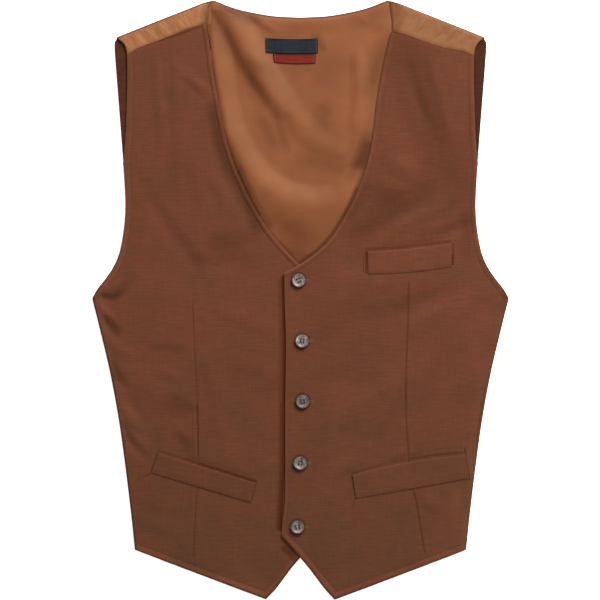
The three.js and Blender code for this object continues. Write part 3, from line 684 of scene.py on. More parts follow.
def cloth(name, patches, wall, materials, face_slot=None):
    """A closed shell of even thickness round its middle surface, with rounded free edges.
    Patches are lists of rows of points (x, y, z, u, v, gap, shade): place and flat pattern in millimetres,
    the distance to the nearest free edge, and how much painted shade darkens it. They share their common
    points."""
    points = []
    index = {}
    quads = []
    for rows in patches:
        ids = []
        for row in rows:
            line = []
            for p in row:
                key = (round(p[0] * 500), round(p[1] * 500), round(p[2] * 500))
                if key not in index:
                    index[key] = len(points)
                    points.append(p)
                line.append(index[key])
            ids.append(line)
        for i in range(len(ids) - 1):
            for j in range(len(ids[i]) - 1):
                corners = []
                for k in (ids[i][j], ids[i][j + 1], ids[i + 1][j + 1], ids[i + 1][j]):
                    if k not in corners:
                        corners.append(k)
                if len(corners) > 2:
                    quads.append(corners)
    places = [Vector(p[:3]) for p in points]
    normals = [Vector() for _ in points]
    edges = {}
    for face in quads:
        a, b, c = (places[k] for k in face[:3])
        d = places[face[-1]]
        normal = (c - a).cross(d - b) if len(face) == 4 else (b - a).cross(c - a)
        for k in face:
            normals[k] += normal
        for k in range(len(face)):
            edges[(face[k], face[(k + 1) % len(face)])] = True
    count = len(points)
    upper = []
    lower = []
    for place, normal, p in zip(places, normals, points):
        step = normal.normalized() * half_thickness(wall, p[5])
        upper.append((place + step) * MM)
        lower.append((place - step) * MM)
    faces = [list(face) for face in quads]
    faces += [[k + count for k in reversed(face)] for face in quads]
    faces += [[b, a, a + count, b + count] for a, b in edges if (b, a) not in edges]
    mesh = bpy.data.meshes.new(name)
    mesh.from_pydata(upper + lower, [], faces)
    pattern = mesh.uv_layers.new(name="cloth")
    for loop in mesh.loops:
        p = points[loop.vertex_index % count]
        pattern.data[loop.index].uv = (p[3] * MM, p[4] * MM)
    gaps = mesh.attributes.new("edge_gap", "FLOAT", "POINT")
    shades = mesh.attributes.new("shade", "FLOAT", "POINT")
    for k in range(2 * count):
        gaps.data[k].value = min(points[k % count][5], EDGE_GAP_LIMIT)
        shades.data[k].value = points[k % count][6]
    for material in materials:
        mesh.materials.append(material)
    if face_slot:
        for polygon in mesh.polygons:
            polygon.material_index = face_slot(polygon.center / MM, polygon.normal)
    mesh.polygons.foreach_set("use_smooth", [True] * len(mesh.polygons))
    piece = bpy.data.objects.new(name, mesh)
    bpy.context.collection.objects.link(piece)
    return piece


FRONT_PIECES = round(190 / SPACING)


def stations(length, skew, dart_at):
    """Distances along a row of a front: close together at its two ends and at its dart"""
    inner = [gap / skew for gap in EDGE_STATIONS]
    high = length - EDGE_STATIONS[-1]
    first = dart_at + DART_STATIONS[0]
    last = dart_at + DART_STATIONS[-1]
    half = max(2, round(FRONT_PIECES * 0.5))
    between = [k / half for k in range(1, half)]
    return (inner + [mix(inner[-1], first, t) for t in between] + [dart_at + off for off in DART_STATIONS]
            + [mix(last, high, t) for t in between] + [length - gap for gap in reversed(EDGE_STATIONS)])


# How far up the fine rows beside the hem step at the front's inner and outer end, for one mm of distance
HEM_STEP_INNER = 0.84
HEM_STEP_OUTER = 1.12


def front_rows(front):
    """Fine rows of a front as (inner y, outer y, row number of the solid)"""
    rows = []
    number = 0
    for k in range(1, len(front.rows)):
        before = front.rows[k - 1]
        row = front.rows[k]
        reach = max(abs(row[0] - before[0]), abs(row[1] - before[1]))
        start = (before[0], before[1], number)
        end = (row[0], row[1], number + row[2])
        left = reach
        if k == 1:
            for gap in EDGE_STATIONS:
                rows.append((before[0] + gap * HEM_STEP_INNER, before[1] + gap * HEM_STEP_OUTER,
                             number + gap * HEM_STEP_INNER / reach * row[2]))
            start = rows[-1]
            left = reach - EDGE_STATIONS[-1]
        count = round(left / SPACING)
        fine = [tuple(mix(a, b, i / count) for a, b in zip(start, end)) for i in range(1, count + 1)]
        if k == len(front.rows) - 1:
            fine.insert(-1, tuple(mix(a, b, 0.88) for a, b in zip(fine[-2], fine[-1])))
        rows += fine
        number += row[2]
        if row[1] == UNDERARM_Y:
            rows.append((row[0] + 0.2, row[1] + 0.25, number + 0.01))
    return rows, number


def seam_point(front, t):
    """A point on the strap seam, as straight stitches between the strap's columns"""

    def station(k):
        x = mix(front.seam[0][0], front.seam[-1][0], k / STRAP_COLUMNS)
        return Vector((front.side * x, through(front.seam, x)))

    k = min(STRAP_COLUMNS - 1, int(t * STRAP_COLUMNS))
    return station(k).lerp(station(k + 1), t * STRAP_COLUMNS - k)


def shoulder_outward(side):
    along = Vector((SHOULDER_TIP[0] - SHOULDER_NECK[0], SHOULDER_TIP[1] - SHOULDER_NECK[1]))
    return Vector((-along.y * side, along.x)).normalized()


def underarm_corner():
    """Where the side seam meets the back's armhole"""
    y = UNDERARM_Y
    while side_line_half(y) - SIDE_TURN < armhole_half(y) - BACK_ARMHOLE_INSET:
        y += 0.1
    return y


CORNER_Y = underarm_corner()
ROLL_STEPS = 12
UNDER_STEPS = 4


def flipped(rows):
    return [list(reversed(row)) for row in rows]


def front_gap_on_side(front, p, gap, stitch):
    """Where the front rolls round the side its only free edge is the hem"""
    if abs(p.x) < outline_half(p.y) - 24 or p.y > -40:
        return gap, stitch
    hem = gap_to_line(p.x, p.y, front.hem_line)[0]
    return (hem, HEM_STITCH) if hem < gap + 4 else (gap, stitch)


def front_point(front, p, rolled):
    """A point of a front's upper patch, with its sewing and its painted shade"""
    gap, stitch = front.edge_gap(p.x, p.y)
    if rolled:
        gap, stitch = front_gap_on_side(front, p, gap, stitch)
    z = front.draped_height(p.x, p.y) + front.sewn_rise(p.x, p.y, gap, stitch)
    shade = front_shade(p.x, p.y)
    armhole = stitch == ARMHOLE_STITCH
    # Painted shade at the hem, cutaway and armhole edges, where the cloth turns from the light
    if stitch > NECK_STITCH:
        shade += EDGE_SHADE * (1 - ease(*EDGE_SHADE_FADE, gap)) * (1 - 0.9 * ease(30, 80, p.y))
    # Painted light on the rims that face away from the softbox
    if (stitch == NECK_STITCH) if front is OVER else (armhole and p.y > 90):
        shade -= RIM_LIGHT * (1 - ease(*RIM_LIGHT_FADE, gap))
    if armhole:
        z -= ARMHOLE_RIM_DROP * (1 - ease(0, 5, gap)) * ease(90, 140, p.y) * (1 - ease(235, 255, p.y))
    return (p.x, p.y, z, p.x, p.y, gap, shade)


def side_roll(front, edge, outer_y):
    """The points of a row from its outer end round the side and in to the side seam underneath"""
    hem = max(0.0, (outer_y - front.rows[0][1]) / HEM_STEP_OUTER)
    roll_shade = LEFT_ROLL_SHADE if front is OVER else RIGHT_ROLL_SHADE
    radius = SIDE_ROLL - FRONT_WALL / 2
    middle = side_half(outer_y) - SIDE_ROLL
    points = [edge]
    for k in range(1, ROLL_STEPS + 1):
        angle = math.pi * k / ROLL_STEPS
        x = front.side * (middle + radius * math.sin(angle))
        z = SIDE_ROLL + radius * math.cos(angle)
        # Painted shade where the side rolls under
        shade = mix(edge[6], roll_shade, ease(0.1, 0.7, math.sin(angle)))
        points.append((x, outer_y, z, edge[3] + front.side * radius * angle, outer_y, hem, shade))
    rise = (CORNER_Y - UNDERARM_Y) * ease(-45, UNDERARM_Y, outer_y)
    for k in range(1, UNDER_STEPS + 1):
        t = k / UNDER_STEPS
        y = outer_y + rise * t
        half = side_line_half(y) - mix(SIDE_ROLL, SIDE_TURN - SEAM_GAP / 2, t)
        flat = edge[3] + front.side * (math.pi * radius + (SIDE_TURN - SIDE_ROLL) * t)
        points.append((front.side * half, y, FRONT_WALL / 2, flat, y, hem, 0.0))
    return points


def front_patches(front):
    """The front's upper patch, and the one that rolls round its side"""
    rows, top_number = front_rows(front)
    main = []
    roll = []
    for inner_y, outer_y, number in rows:
        rolled = outer_y <= UNDERARM_Y + 1e-6
        outer = side_half(outer_y) - SIDE_ROLL if rolled else front_armhole_half(outer_y)
        start = Vector((front.inner_edge(inner_y), inner_y))
        end = Vector((front.side * outer, outer_y))
        length = (end - start).length
        along = (end - start) / length
        tangent = Vector((front.inner_edge(inner_y + 5) - front.inner_edge(inner_y - 5), 10)).normalized()
        skew = max(0.35, abs(tangent.x * along.y - tangent.y * along.x))
        dart_at = 0.5 * length
        for _ in range(5):
            p = start + along * dart_at
            dart_at += (through(front.dart, p.y) - p.x) / along.x
        to_seam = ease(top_number - 4, top_number, number)
        points = []
        for value in stations(length, skew, dart_at):
            t = value / length
            p = start.lerp(end, t)
            if to_seam > 0:
                seam = seam_point(front, t) - shoulder_outward(front.side) * SHOWN_SEAM_GAP / 2
                p = p.lerp(seam, to_seam)
            points.append(front_point(front, p, rolled))
        main.append(points)
        if rolled:
            roll.append(side_roll(front, points[-1], outer_y))
    return [main, roll] if front.side > 0 else [flipped(main), flipped(roll)]


NECK_COLUMNS = [0, 17, 33, 48, 62, 74, 84, 91, 95]
# The neck's first columns are split more finely than its last ones
NECK_SPLITS = (4, 4, 4, 4, 4, 4, 2, 2)
STRAP_LENGTH = 107.0
STRAP_STATIONS = [0, 0.003, 0.009] + [j / 40 for j in range(1, 40)] + [0.991, 0.997, 1]
STRAP_STEPS = 12
BACK_SPACING = 8


def shoulder_middle(side, t):
    x = mix(SHOULDER_NECK[0], SHOULDER_TIP[0], t)
    edge = Vector((side * x, shoulder_line(x)))
    return edge - shoulder_outward(side) * SHOULDER_ROLL


def back_half(y):
    if y <= CORNER_Y:
        return side_line_half(y) - SIDE_TURN - SEAM_GAP / 2
    return armhole_half(y) - BACK_ARMHOLE_INSET * (1 - ease(136, 150, y))


def neck_end_shade(side, across):
    """Painted shade on the strap's neck end, where it turns down"""
    return 0.15 * (1 - ease(0, 0.09, across)) if side > 0 else 0.8 * (1 - ease(0, 0.14, across))


def neck_end_drop(across):
    return NECK_END_DROP * (1 - ease(0, 0.12, across))


def neck_end_reach(across):
    """How far the fold's neck end reaches over the lining"""
    return NECK_END_REACH * (1 - ease(0, 0.06, across))


def strap_end_inset(t):
    """How far the strap's armhole end curves in, from the fold down to the seam"""
    return through([(0, 2.2), (0.2, 4.2), (0.45, 4.4), (0.75, 2.3), (1, 0)], t)


def strap_gap(across):
    return min(NECK_END_GAP + across * STRAP_LENGTH, (1 - across) * STRAP_LENGTH)


def strap_pucker(p):
    return sum(pucker.rise(p.x, p.y) for pucker in strap_puckers)


# Painted shade over the whole left strap, which the softbox beside it lights more
def strap_painted_shade(front):
    return LEFT_STRAP_PAINTED_SHADE if front is OVER else 0.0


def back_top():
    """Points of the back's top edge, from the tip of one shoulder to that of the other"""
    xs = []
    for k, splits in enumerate(NECK_SPLITS):
        xs += [mix(NECK_COLUMNS[k], NECK_COLUMNS[k + 1], i / splits) for i in range(splits)]
    xs.append(NECK_COLUMNS[-1])
    half = [Vector((x, neck_y(x))) for x in xs] + [shoulder_middle(1, across) for across in STRAP_STATIONS]
    return [Vector((-p.x, p.y)) for p in reversed(half[1:])] + half


def back_body(top):
    """The back's patch between its hem and its top edge"""
    tip = top[-1]
    below = round((CORNER_Y - BACK_HEM_SIDE_Y) / BACK_SPACING)
    above = round((tip.y - CORNER_Y) / SPACING)
    heights = [mix(BACK_HEM_SIDE_Y, CORNER_Y, i / below) for i in range(below + 1)]
    heights += [mix(CORNER_Y, tip.y, i / above) for i in range(1, above + 1)]
    body = []
    for i, edge_y in enumerate(heights):
        rise = (edge_y - BACK_HEM_SIDE_Y) / (tip.y - BACK_HEM_SIDE_Y)
        width = tip.x if i == len(heights) - 1 else back_half(edge_y)
        row = []
        for p in top:
            hem = mix(BACK_HEM_MIDDLE_Y, BACK_HEM_SIDE_Y, (p.x / tip.x) ** 2)
            x = p.x / tip.x * width
            y = mix(hem, p.y, rise)
            gap = min(p.y - y, y - hem) if abs(p.x) <= NECK_COLUMNS[-1] else y - hem
            if edge_y > CORNER_Y:
                gap = min(gap, width - abs(x))
            row.append((x, y, back_height(x, y), x, y, max(0.0, gap), lining_shade(x, y)))
        body.append(row)
    return flipped(body)


def fold_point(front, across, angle):
    """A point where the back folds over the shoulder, from the angle 0 below to pi above"""
    radius = SHOULDER_ROLL - BACK_WALL / 2
    outward = shoulder_outward(front.side)
    middle = shoulder_middle(front.side, across)
    p = middle + outward * radius * math.sin(angle)
    p.x -= front.side * strap_end_inset(0) * across ** 3 * ease(0, math.pi, angle)
    p.x -= front.side * neck_end_reach(across) * ease(0, math.pi / 2, angle)
    flat = middle + outward * radius * angle
    z = SHOULDER_ROLL - radius * math.cos(angle)
    z -= neck_end_drop(across) * ease(math.pi * 0.3, math.pi, angle)
    if angle > math.pi / 2:
        z += strap_pucker(p) * ease(math.pi / 2, math.pi, angle)
    # Painted shade along the fold's outer edge
    shade = mix(strap_painted_shade(front), STRAP_ROLL_SHADE, ease(0.1, 0.6, math.sin(angle)))
    return (p.x, p.y, z, flat.x, flat.y, strap_gap(across), shade)


def strap_point(front, across, t):
    """A point of the strap, from its fold at 0 to its seam with the front at 1"""
    outward = shoulder_outward(front.side)
    middle = shoulder_middle(front.side, across)
    seam = seam_point(front, across) + outward * SHOWN_SEAM_GAP / 2
    p = middle.lerp(seam, t)
    p.x -= front.side * (strap_end_inset(t) * across ** 3 + neck_end_reach(across) * (1 - ease(0, 0.7, t)))
    flat = p + outward * 2 * (middle - p).dot(outward)
    z = 2 * SHOULDER_ROLL - BACK_WALL / 2
    z += strap_pucker(p) * (1 - ease(0.8, 1, t))
    z -= SEAM_DIP * ease(0.93, 1, t) + neck_end_drop(across)
    # Painted shade by the seam, at the neck end, over the left strap and towards the right strap's armhole
    # end
    shade = strap_painted_shade(front) + neck_end_shade(front.side, across) + STRAP_SEAM_SHADE * ease(0.84, 1, t)
    if front is UNDER:
        shade += STRAP_SEAM_SHADE * ease(0.75, 1, across)
    return (p.x, p.y, z, flat.x, flat.y, strap_gap(across), shade)


def back_patches():
    straps = []
    for front in (OVER, UNDER):
        angles = [math.pi * i / ROLL_STEPS for i in range(ROLL_STEPS + 1)]
        shares = [i / STRAP_STEPS for i in range(1, STRAP_STEPS)] + [0.985, 1]
        rows = [[fold_point(front, across, angle) for across in STRAP_STATIONS] for angle in angles]
        rows += [[strap_point(front, across, t) for across in STRAP_STATIONS] for t in shares]
        straps.append(flipped(rows) if front.side > 0 else rows)
    return [back_body(back_top()), *straps]


def strip_stations(length, spacing):
    """Distances along a strip, close together at its two ends"""
    end = STRIP_STATIONS[-1]
    count = max(2, round((length - 2 * end) / spacing))
    inner = [mix(end, length - end, k / count) for k in range(1, count)]
    return STRIP_STATIONS + inner + [length - gap for gap in reversed(STRIP_STATIONS)]


def strip_patches(shape, height_at, wall, spacing=2.2, flush=False, tone=0.0):
    """A narrow sewn-on strip, moved out of the cloth that it lies on; a flush one thins to its lower seam"""
    bottom_left, bottom_right, top_right, top_left = (Vector(c) for c in shape[:4])
    length = (bottom_right - bottom_left).length
    width = (top_left - bottom_left).length
    rows = []
    for b in strip_stations(width, spacing):
        row = []
        for a in strip_stations(length, spacing):
            t = a / length
            p = bottom_left.lerp(bottom_right, t).lerp(top_left.lerp(top_right, t), b / width)
            p.y += mix(*shape[4], b / width) * math.sin(math.pi * t)
            gap = min(a, length - a, b * 0.3 if flush else b, width - b)
            lift = SEAM_GAP * (mix(0.35, 1, ease(0, 6, b)) if flush else 1)
            low = half_thickness(wall, gap) if flush and b < 4 else wall / 2
            shade = tone
            # Painted highlight on a flush welt's top edge, and painted light along its lower seam against its
            # shade
            if flush:
                shade -= WELT_TOP_LIGHT * (1 - ease(0.4, 2.0, width - b))
                shade -= WELT_SEAM_LIGHT * (1 - ease(0.2, 1.5, b))
            row.append((p.x, p.y, height_at(p.x, p.y) + lift + low, p.x, p.y, gap, shade))
        rows.append(row)
    return [rows]


def over_cloth(front):
    return lambda x, y: front.draped_height(x, y) + FRONT_WALL / 2


def over_lining(x, y):
    return back_height(x, y) + BACK_WALL / 2


def srgb(r, g, b):
    """Linear colour of an eye colour given in 0 to 255"""
    linear = (((c / 255 + 0.055) / 1.055) ** 2.4 if c > 10 else c / 255 / 12.92 for c in (r, g, b))
    return (*linear, 1.0)


def grey(value):
    return (value, value, value, 1)


def put_inputs(tree, node, values):
    """Give inputs of a node plain values, or link them to outputs of other nodes"""
    for label, value in values.items():
        if isinstance(value, (int, float, tuple)):
            node.inputs[label].default_value = value
        else:
            tree.links.new(value, node.inputs[label])


def add_node(tree, kind, values, **settings):
    """A shader node with its settings and inputs"""
    node = tree.nodes.new(f"ShaderNode{kind}")
    for label, value in settings.items():
        setattr(node, label, value)
    put_inputs(tree, node, values)
    return node


def new_group(name, inputs, outputs):
    group = bpy.data.node_groups.new(name, "ShaderNodeTree")
    for label, kind, value in inputs:
        socket = group.interface.new_socket(label, in_out="INPUT", socket_type=f"NodeSocket{kind}")
        if value is not None:
            socket.default_value = value
    for label in outputs:
        group.interface.new_socket(label, in_out="OUTPUT", socket_type="NodeSocketFloat")
    return group, group.nodes.new("NodeGroupInput").outputs, group.nodes.new("NodeGroupOutput")


def math_node(tree, operation, *values, clamp=False):
    node = add_node(tree, "Math", dict(enumerate(values)), operation=operation, use_clamp=clamp)
    return node.outputs[0]


def weighted_sum(tree, *parts):
    """The sum of values, each with its weight"""
    total = None
    for value, weight in parts:
        part = math_node(tree, "MULTIPLY", value, weight)
        total = math_node(tree, "ADD", total, part) if total else part
    return total


def vector_node(tree, operation, *values):
    node = add_node(tree, "VectorMath", dict(enumerate(values)), operation=operation)
    return node.outputs["Value" if operation in ("DOT_PRODUCT", "LENGTH") else "Vector"]


def scaled(tree, vector, factor):
    return add_node(tree, "VectorMath", {0: vector, "Scale": factor}, operation="SCALE").outputs[0]


def mixed(tree, fac, a, b, blend="MIX", clamp=True):
    node = add_node(tree, "Mix", {0: fac, 6: a, 7: b}, data_type="RGBA", blend_type=blend, clamp_factor=clamp)
    return node.outputs[2]


def tinted(tree, colour, tint):
    return mixed(tree, 1.0, colour, tint, "MULTIPLY")


def ramp(tree, fac, stops):
    node = add_node(tree, "ValToRGB", {"Fac": fac})
    elements = node.color_ramp.elements
    while len(elements) < len(stops):
        elements.new(0.5)
    for element, (position, colour) in zip(elements, stops):
        element.position = position
        element.color = colour
    return node.outputs["Color"]


def attribute(tree, name):
    return add_node(tree, "Attribute", {}, attribute_name=name).outputs["Fac"]


def object_place(tree):
    return tree.nodes.new("ShaderNodeTexCoord").outputs["Object"]


def cloth_pattern(tree):
    return add_node(tree, "UVMap", {}, uv_map="cloth").outputs[0]


def mapped(tree, vector, scale, turn=0.0, shift=(0, 0, 0)):
    node = add_node(tree, "Mapping", {"Vector": vector, "Scale": scale, "Rotation": (0, 0, turn),
                                      "Location": shift})
    return node.outputs[0]


def cloudy(tree, vector, scale, detail=2.0, distortion=0.0, dimensions="3D"):
    node = add_node(tree, "TexNoise", {"Vector": vector, "Scale": scale, "Detail": detail,
                                       "Distortion": distortion}, noise_dimensions=dimensions)
    return node.outputs["Fac"]


def near_edge(tree, stops, width=10.0):
    """A ramp over the distance to the piece's free edge, as a share of a width in millimetres"""
    return ramp(tree, math_node(tree, "DIVIDE", attribute(tree, "edge_gap"), width), stops)


def streaks(tree, vector, along, across, detail=2.0):
    """Noise drawn out into threads: along and across are its repeats per millimetre"""
    return cloudy(tree, mapped(tree, vector, (along, across, 1.0)), 1.0, detail, dimensions="2D")


def weave_group():
    """Plain weave with uneven threads: a height, a tone that varies round one half, and broad patches"""
    group, given, made = new_group("woven threads", [("Pattern", "Vector", None), ("Threads", "Float", 1.7)],
                                   ["Height", "Tone", "Patches"])
    vector = scaled(group, given["Pattern"], 1000.0)
    split = add_node(group, "SeparateXYZ", {0: vector})
    turns = math_node(group, "MULTIPLY", given["Threads"], math.pi)
    warp, weft = (math_node(group, "SINE", math_node(group, "MULTIPLY", split.outputs[axis], turns))
                  for axis in (0, 1))
    crossing = math_node(group, "MULTIPLY", warp, weft)
    slub_weft = streaks(group, vector, 0.05, 0.62)
    slub_warp = streaks(group, vector, 0.6, 0.035)
    broad = streaks(group, vector, 0.12, 0.3, 3.0)
    patches = streaks(group, vector, 0.022, 0.026, 3.0)
    melange = streaks(group, vector, 0.8, 0.8)
    height = weighted_sum(group, (crossing, 0.5), (slub_weft, 1.0), (slub_warp, 0.5))
    tone = weighted_sum(group, (slub_weft, 0.42), (slub_warp, 0.24), (broad, 0.18), (melange, 0.16))
    put_inputs(group, made, {"Height": height, "Tone": tone, "Patches": patches})
    return group


def painted_shade_line_group():
    """The greater of a mask given before and that of a straight line of painted shade on the cloth, fading
    out sideways
    """
    group, given, made = new_group(
        "painted shade line",
        [("Place", "Vector", None), ("Before", "Float", 0.0), ("Start", "Vector", None),
         ("End", "Vector", None), ("Width", "Float", 1.0), ("Soft", "Float", 1.0), ("Share", "Float", 1.0)],
        ["Mask"])
    # The mask before is added to the height, which is then flattened away: it makes this node wait for it
    before = add_node(group, "CombineXYZ", {"Z": given["Before"]}).outputs[0]
    place = vector_node(group, "ADD", given["Place"], before)
    flat = vector_node(group, "MULTIPLY", place, (1000.0, 1000.0, 0.0))
    from_start = vector_node(group, "SUBTRACT", flat, given["Start"])
    run = vector_node(group, "SUBTRACT", given["End"], given["Start"])
    along = math_node(group, "DIVIDE", vector_node(group, "DOT_PRODUCT", from_start, run),
                      vector_node(group, "DOT_PRODUCT", run, run), clamp=True)
    away = vector_node(group, "LENGTH", vector_node(group, "SUBTRACT", from_start, scaled(group, run, along)))
    outer = math_node(group, "ADD", given["Width"], given["Soft"])
    fade = add_node(group, "MapRange", {"Value": away, "From Min": given["Width"], "From Max": outer,
                                        "To Min": 1.0, "To Max": 0.0}, interpolation_type="SMOOTHSTEP")
    mask = math_node(group, "MULTIPLY", fade.outputs[0], given["Share"])
    put_inputs(group, made, {"Mask": math_node(group, "MAXIMUM", mask, given["Before"])})
    return group


WEAVE = weave_group()
PAINTED_SHADE_LINE = painted_shade_line_group()
EVERYWHERE = (-400, -400, 400, 400)


def near_zone(start, end, reach, zone):
    left, bottom, right, top = zone
    return (max(start[0], end[0]) + reach > left and min(start[0], end[0]) - reach < right
            and max(start[1], end[1]) + reach > bottom and min(start[1], end[1]) - reach < top)


def drawn_lines(tree, lines, zone=EVERYWHERE):
    """Greatest mask of the lines in a part of the cloth, each (points in mm, half width, softness, share)"""
    place = object_place(tree)
    mask = None
    for points, width, soft, share in lines:
        for start, end in zip(points, points[1:] or points):
            if near_zone(start, end, width + soft, zone):
                values = {"Place": place, "Start": (*start, 0), "End": (*end, 0),
                          "Width": width, "Soft": soft, "Share": share}
                if mask:
                    values["Before"] = mask
                mask = add_node(tree, "Group", values, node_tree=PAINTED_SHADE_LINE).outputs["Mask"]
    return mask


def with_painted_shade(tree, colour, mask, shade_tint, line_shade_tint):
    """Painted shade where the piece's shade attribute and the drawn lines say so; painted light where the
    attribute is below 0
    """
    dark = tinted(tree, colour, shade_tint)
    colour = mixed(tree, attribute(tree, "shade"), colour, dark, clamp=False)
    return mixed(tree, mask, colour, tinted(tree, colour, line_shade_tint)) if mask else colour


def start_material(name):
    material = bpy.data.materials.new(name)
    material.use_nodes = True
    tree = material.node_tree
    return material, tree, tree.nodes["Principled BSDF"]


def put_bump(tree, shader, height, distance=1.0):
    bump = add_node(tree, "Bump", {"Strength": 1.0, "Distance": distance, "Height": height})
    put_inputs(tree, shader, {"Normal": bump.outputs[0]})


def woven(tree, threads):
    """Height, tone and patches of a weave with so many threads to the millimetre"""
    node = add_node(tree, "Group", {"Threads": threads, "Pattern": cloth_pattern(tree)}, node_tree=WEAVE)
    return node.outputs["Height"], node.outputs["Tone"], node.outputs["Patches"]


def suiting_material(name, low, middle, high, edge=None, lines=(), zone=EVERYWHERE):
    """Matt wool suiting: uneven threads, soft patches of tone, a painted highlight at its edge, painted shade
    lines
    """
    material, tree, shader = start_material(name)
    height, tone, patches = woven(tree, 1.7)
    colour = ramp(tree, tone, [(0.3, low), (0.5, middle), (0.7, high)])
    warm = ramp(tree, patches, [(0.34, (0.88, 0.93, 0.93, 1)), (0.5, grey(0.95)), (0.66, (1, 0.96, 0.95, 1))])
    colour = tinted(tree, colour, warm)
    up = add_node(tree, "SeparateXYZ", {0: object_place(tree)}).outputs[1]
    lower = math_node(tree, "MULTIPLY_ADD", up, -4.0, -0.1, clamp=True)
    colour = mixed(tree, lower, colour, tinted(tree, colour, (0.88, 1.0, 1.0, 1)))
    # Painted highlight on the puffed edge band, wider and uneven at the hem, partly the band's own redder
    # tone
    if edge:
        hem = math_node(tree, "MULTIPLY_ADD", up, -80.0, -19.7, clamp=True)
        wider = math_node(tree, "MULTIPLY", hem, math_node(tree, "MULTIPLY", patches, 20.0))
        near = near_edge(tree, [(0.0, grey(1)), (0.1, grey(0.8)), (0.35, grey(0))],
                         math_node(tree, "ADD", wider, 10.0))
        colour = mixed(tree, near, colour, mixed(tree, hem, edge, SUITING_HEM_HIGHLIGHT))
    mask = drawn_lines(tree, lines, zone)
    relief = math_node(tree, "MULTIPLY", height, 0.00012)
    if mask:
        relief = math_node(tree, "SUBTRACT", relief, math_node(tree, "MULTIPLY", mask, 0.0001))
    put_inputs(tree, shader, {
        "Base Color": with_painted_shade(tree, colour, mask, (0.42, 0.41, 0.33, 1), (0.52, 0.30, 0.14, 1)),
        "Roughness": 0.88, "Specular IOR Level": 0.06,
        "Sheen Weight": 0.08, "Sheen Roughness": 0.5, "Sheen Tint": (0.75, 0.45, 0.3, 1)})
    put_bump(tree, shader, relief)
    return material


def satin_material(name, low, middle, high, turned, rough, gloss, wrinkle, shade_tint, lines=()):
    """Smooth satin: very fine threads, a soft broad gloss in the cloth's own colour, painted shade at its
    edge and creases
    """
    material, tree, shader = start_material(name)
    height, tone, patches = woven(tree, 4.0)
    colour = ramp(tree, patches, [(0.3, low), (0.5, middle), (0.7, high)])
    colour = tinted(tree, colour, ramp(tree, tone, [(0.3, grey(0.95)), (0.7, grey(1.05))]))
    # Painted shade along the turned edge
    near = near_edge(tree, [(0.0, grey(1)), (0.1, grey(0.9)), (0.24, grey(0))])
    colour = mixed(tree, near, colour, turned)
    colour = with_painted_shade(tree, colour, drawn_lines(tree, lines), shade_tint, (0.2, 0.12, 0.07, 1))
    relief = math_node(tree, "MULTIPLY", height, 0.00003)
    if wrinkle:
        pattern = vector_node(tree, "ABSOLUTE", cloth_pattern(tree))
        creases = cloudy(tree, mapped(tree, pattern, (150.0, 48.0, 1.0), 0.35), 1.0, distortion=0.6)
        # Painted shade in the creases
        colour = tinted(tree, colour, ramp(tree, creases, [(0.35, (0.92, 0.9, 0.88, 1)), (0.6, grey(1))]))
        relief = math_node(tree, "ADD", relief, math_node(tree, "MULTIPLY", creases, wrinkle))
    put_inputs(tree, shader, {"Base Color": colour, "Roughness": rough, "Specular IOR Level": gloss,
                              "Specular Tint": (1.0, 0.68, 0.42, 1)})
    put_bump(tree, shader, relief)
    return material


def plain_thread(name, colour):
    """Sewing thread: a fine twist along its length and a slight sheen"""
    material, tree, shader = start_material(name)
    twist = cloudy(tree, object_place(tree), 2500.0)
    dark = (*(c * 0.7 for c in colour[:3]), 1.0)
    put_inputs(tree, shader, {"Base Color": ramp(tree, twist, [(0.35, dark), (0.65, colour)]),
                              "Roughness": 0.85, "Specular IOR Level": 0.1})
    put_bump(tree, shader, twist, 0.00005)
    return material


def horn_material(name, seed, tone):
    """Polished horn: clouded grey-brown, darker drawn-out veins, a darker rim and middle partly painted shade
    """
    material, tree, shader = start_material(name)
    place = mapped(tree, object_place(tree), (1.0, 0.45, 1.0), seed * 1.3, (seed * 0.031, seed * 0.017, 0))
    cloud = cloudy(tree, place, 260.0, 5.0, 1.2)
    colour = ramp(tree, cloud, [(0.30, srgb(52, 42, 38)), (0.42, srgb(98 * tone, 88 * tone, 82 * tone)),
                                (0.56, srgb(134 * tone, 124 * tone, 115 * tone)),
                                (0.74, srgb(180 * tone, 171 * tone, 158 * tone))])
    put_inputs(tree, shader, {"Base Color": mixed(tree, attribute(tree, "rim"), colour, srgb(44, 30, 25)),
                              "Roughness": ramp(tree, cloud, [(0.3, grey(0.3)), (0.7, grey(0.42))]),
                              "Specular IOR Level": 0.5})
    return material


def label_material(name, low, high):
    """Damask label: fine ribs across and slightly uneven dye"""
    material, tree, shader = start_material(name)
    height, tone = woven(tree, 2.8)[:2]
    colour = ramp(tree, tone, [(0.35, low), (0.65, high)])
    near = near_edge(tree, [(0.04, grey(1)), (0.12, grey(0))])
    colour = mixed(tree, near, colour, tinted(tree, colour, (0.4, 0.38, 0.36, 1)))
    put_inputs(tree, shader, {"Base Color": colour, "Roughness": 0.7, "Specular IOR Level": 0.06})
    put_bump(tree, shader, height, 0.0001)
    return material


# Painted shadow round each button, where it sits in the cloth
def button_painted_shadows():
    return [([(bx, by)], BUTTON_RADIUS - 0.2, 2.4, 0.7) for bx, by in BUTTONS]


def edge_points(line, low, high, count, shift):
    return [(line(mix(low, high, k / count)) + shift, mix(low, high, k / count)) for k in range(count + 1)]


def placed(rows):
    return [(at_pixels(points), width, soft, share) for points, width, soft, share in rows]


def dart_line(front, low, high, count, shift, width, soft, share):
    return (edge_points(lambda y: through(front.dart, y), low, high, count, shift), width, soft, share)


def edge_line(front, low, high, count, shift, width, soft, share):
    return (edge_points(front.inner_edge, low, high, count, shift), width, soft, share)
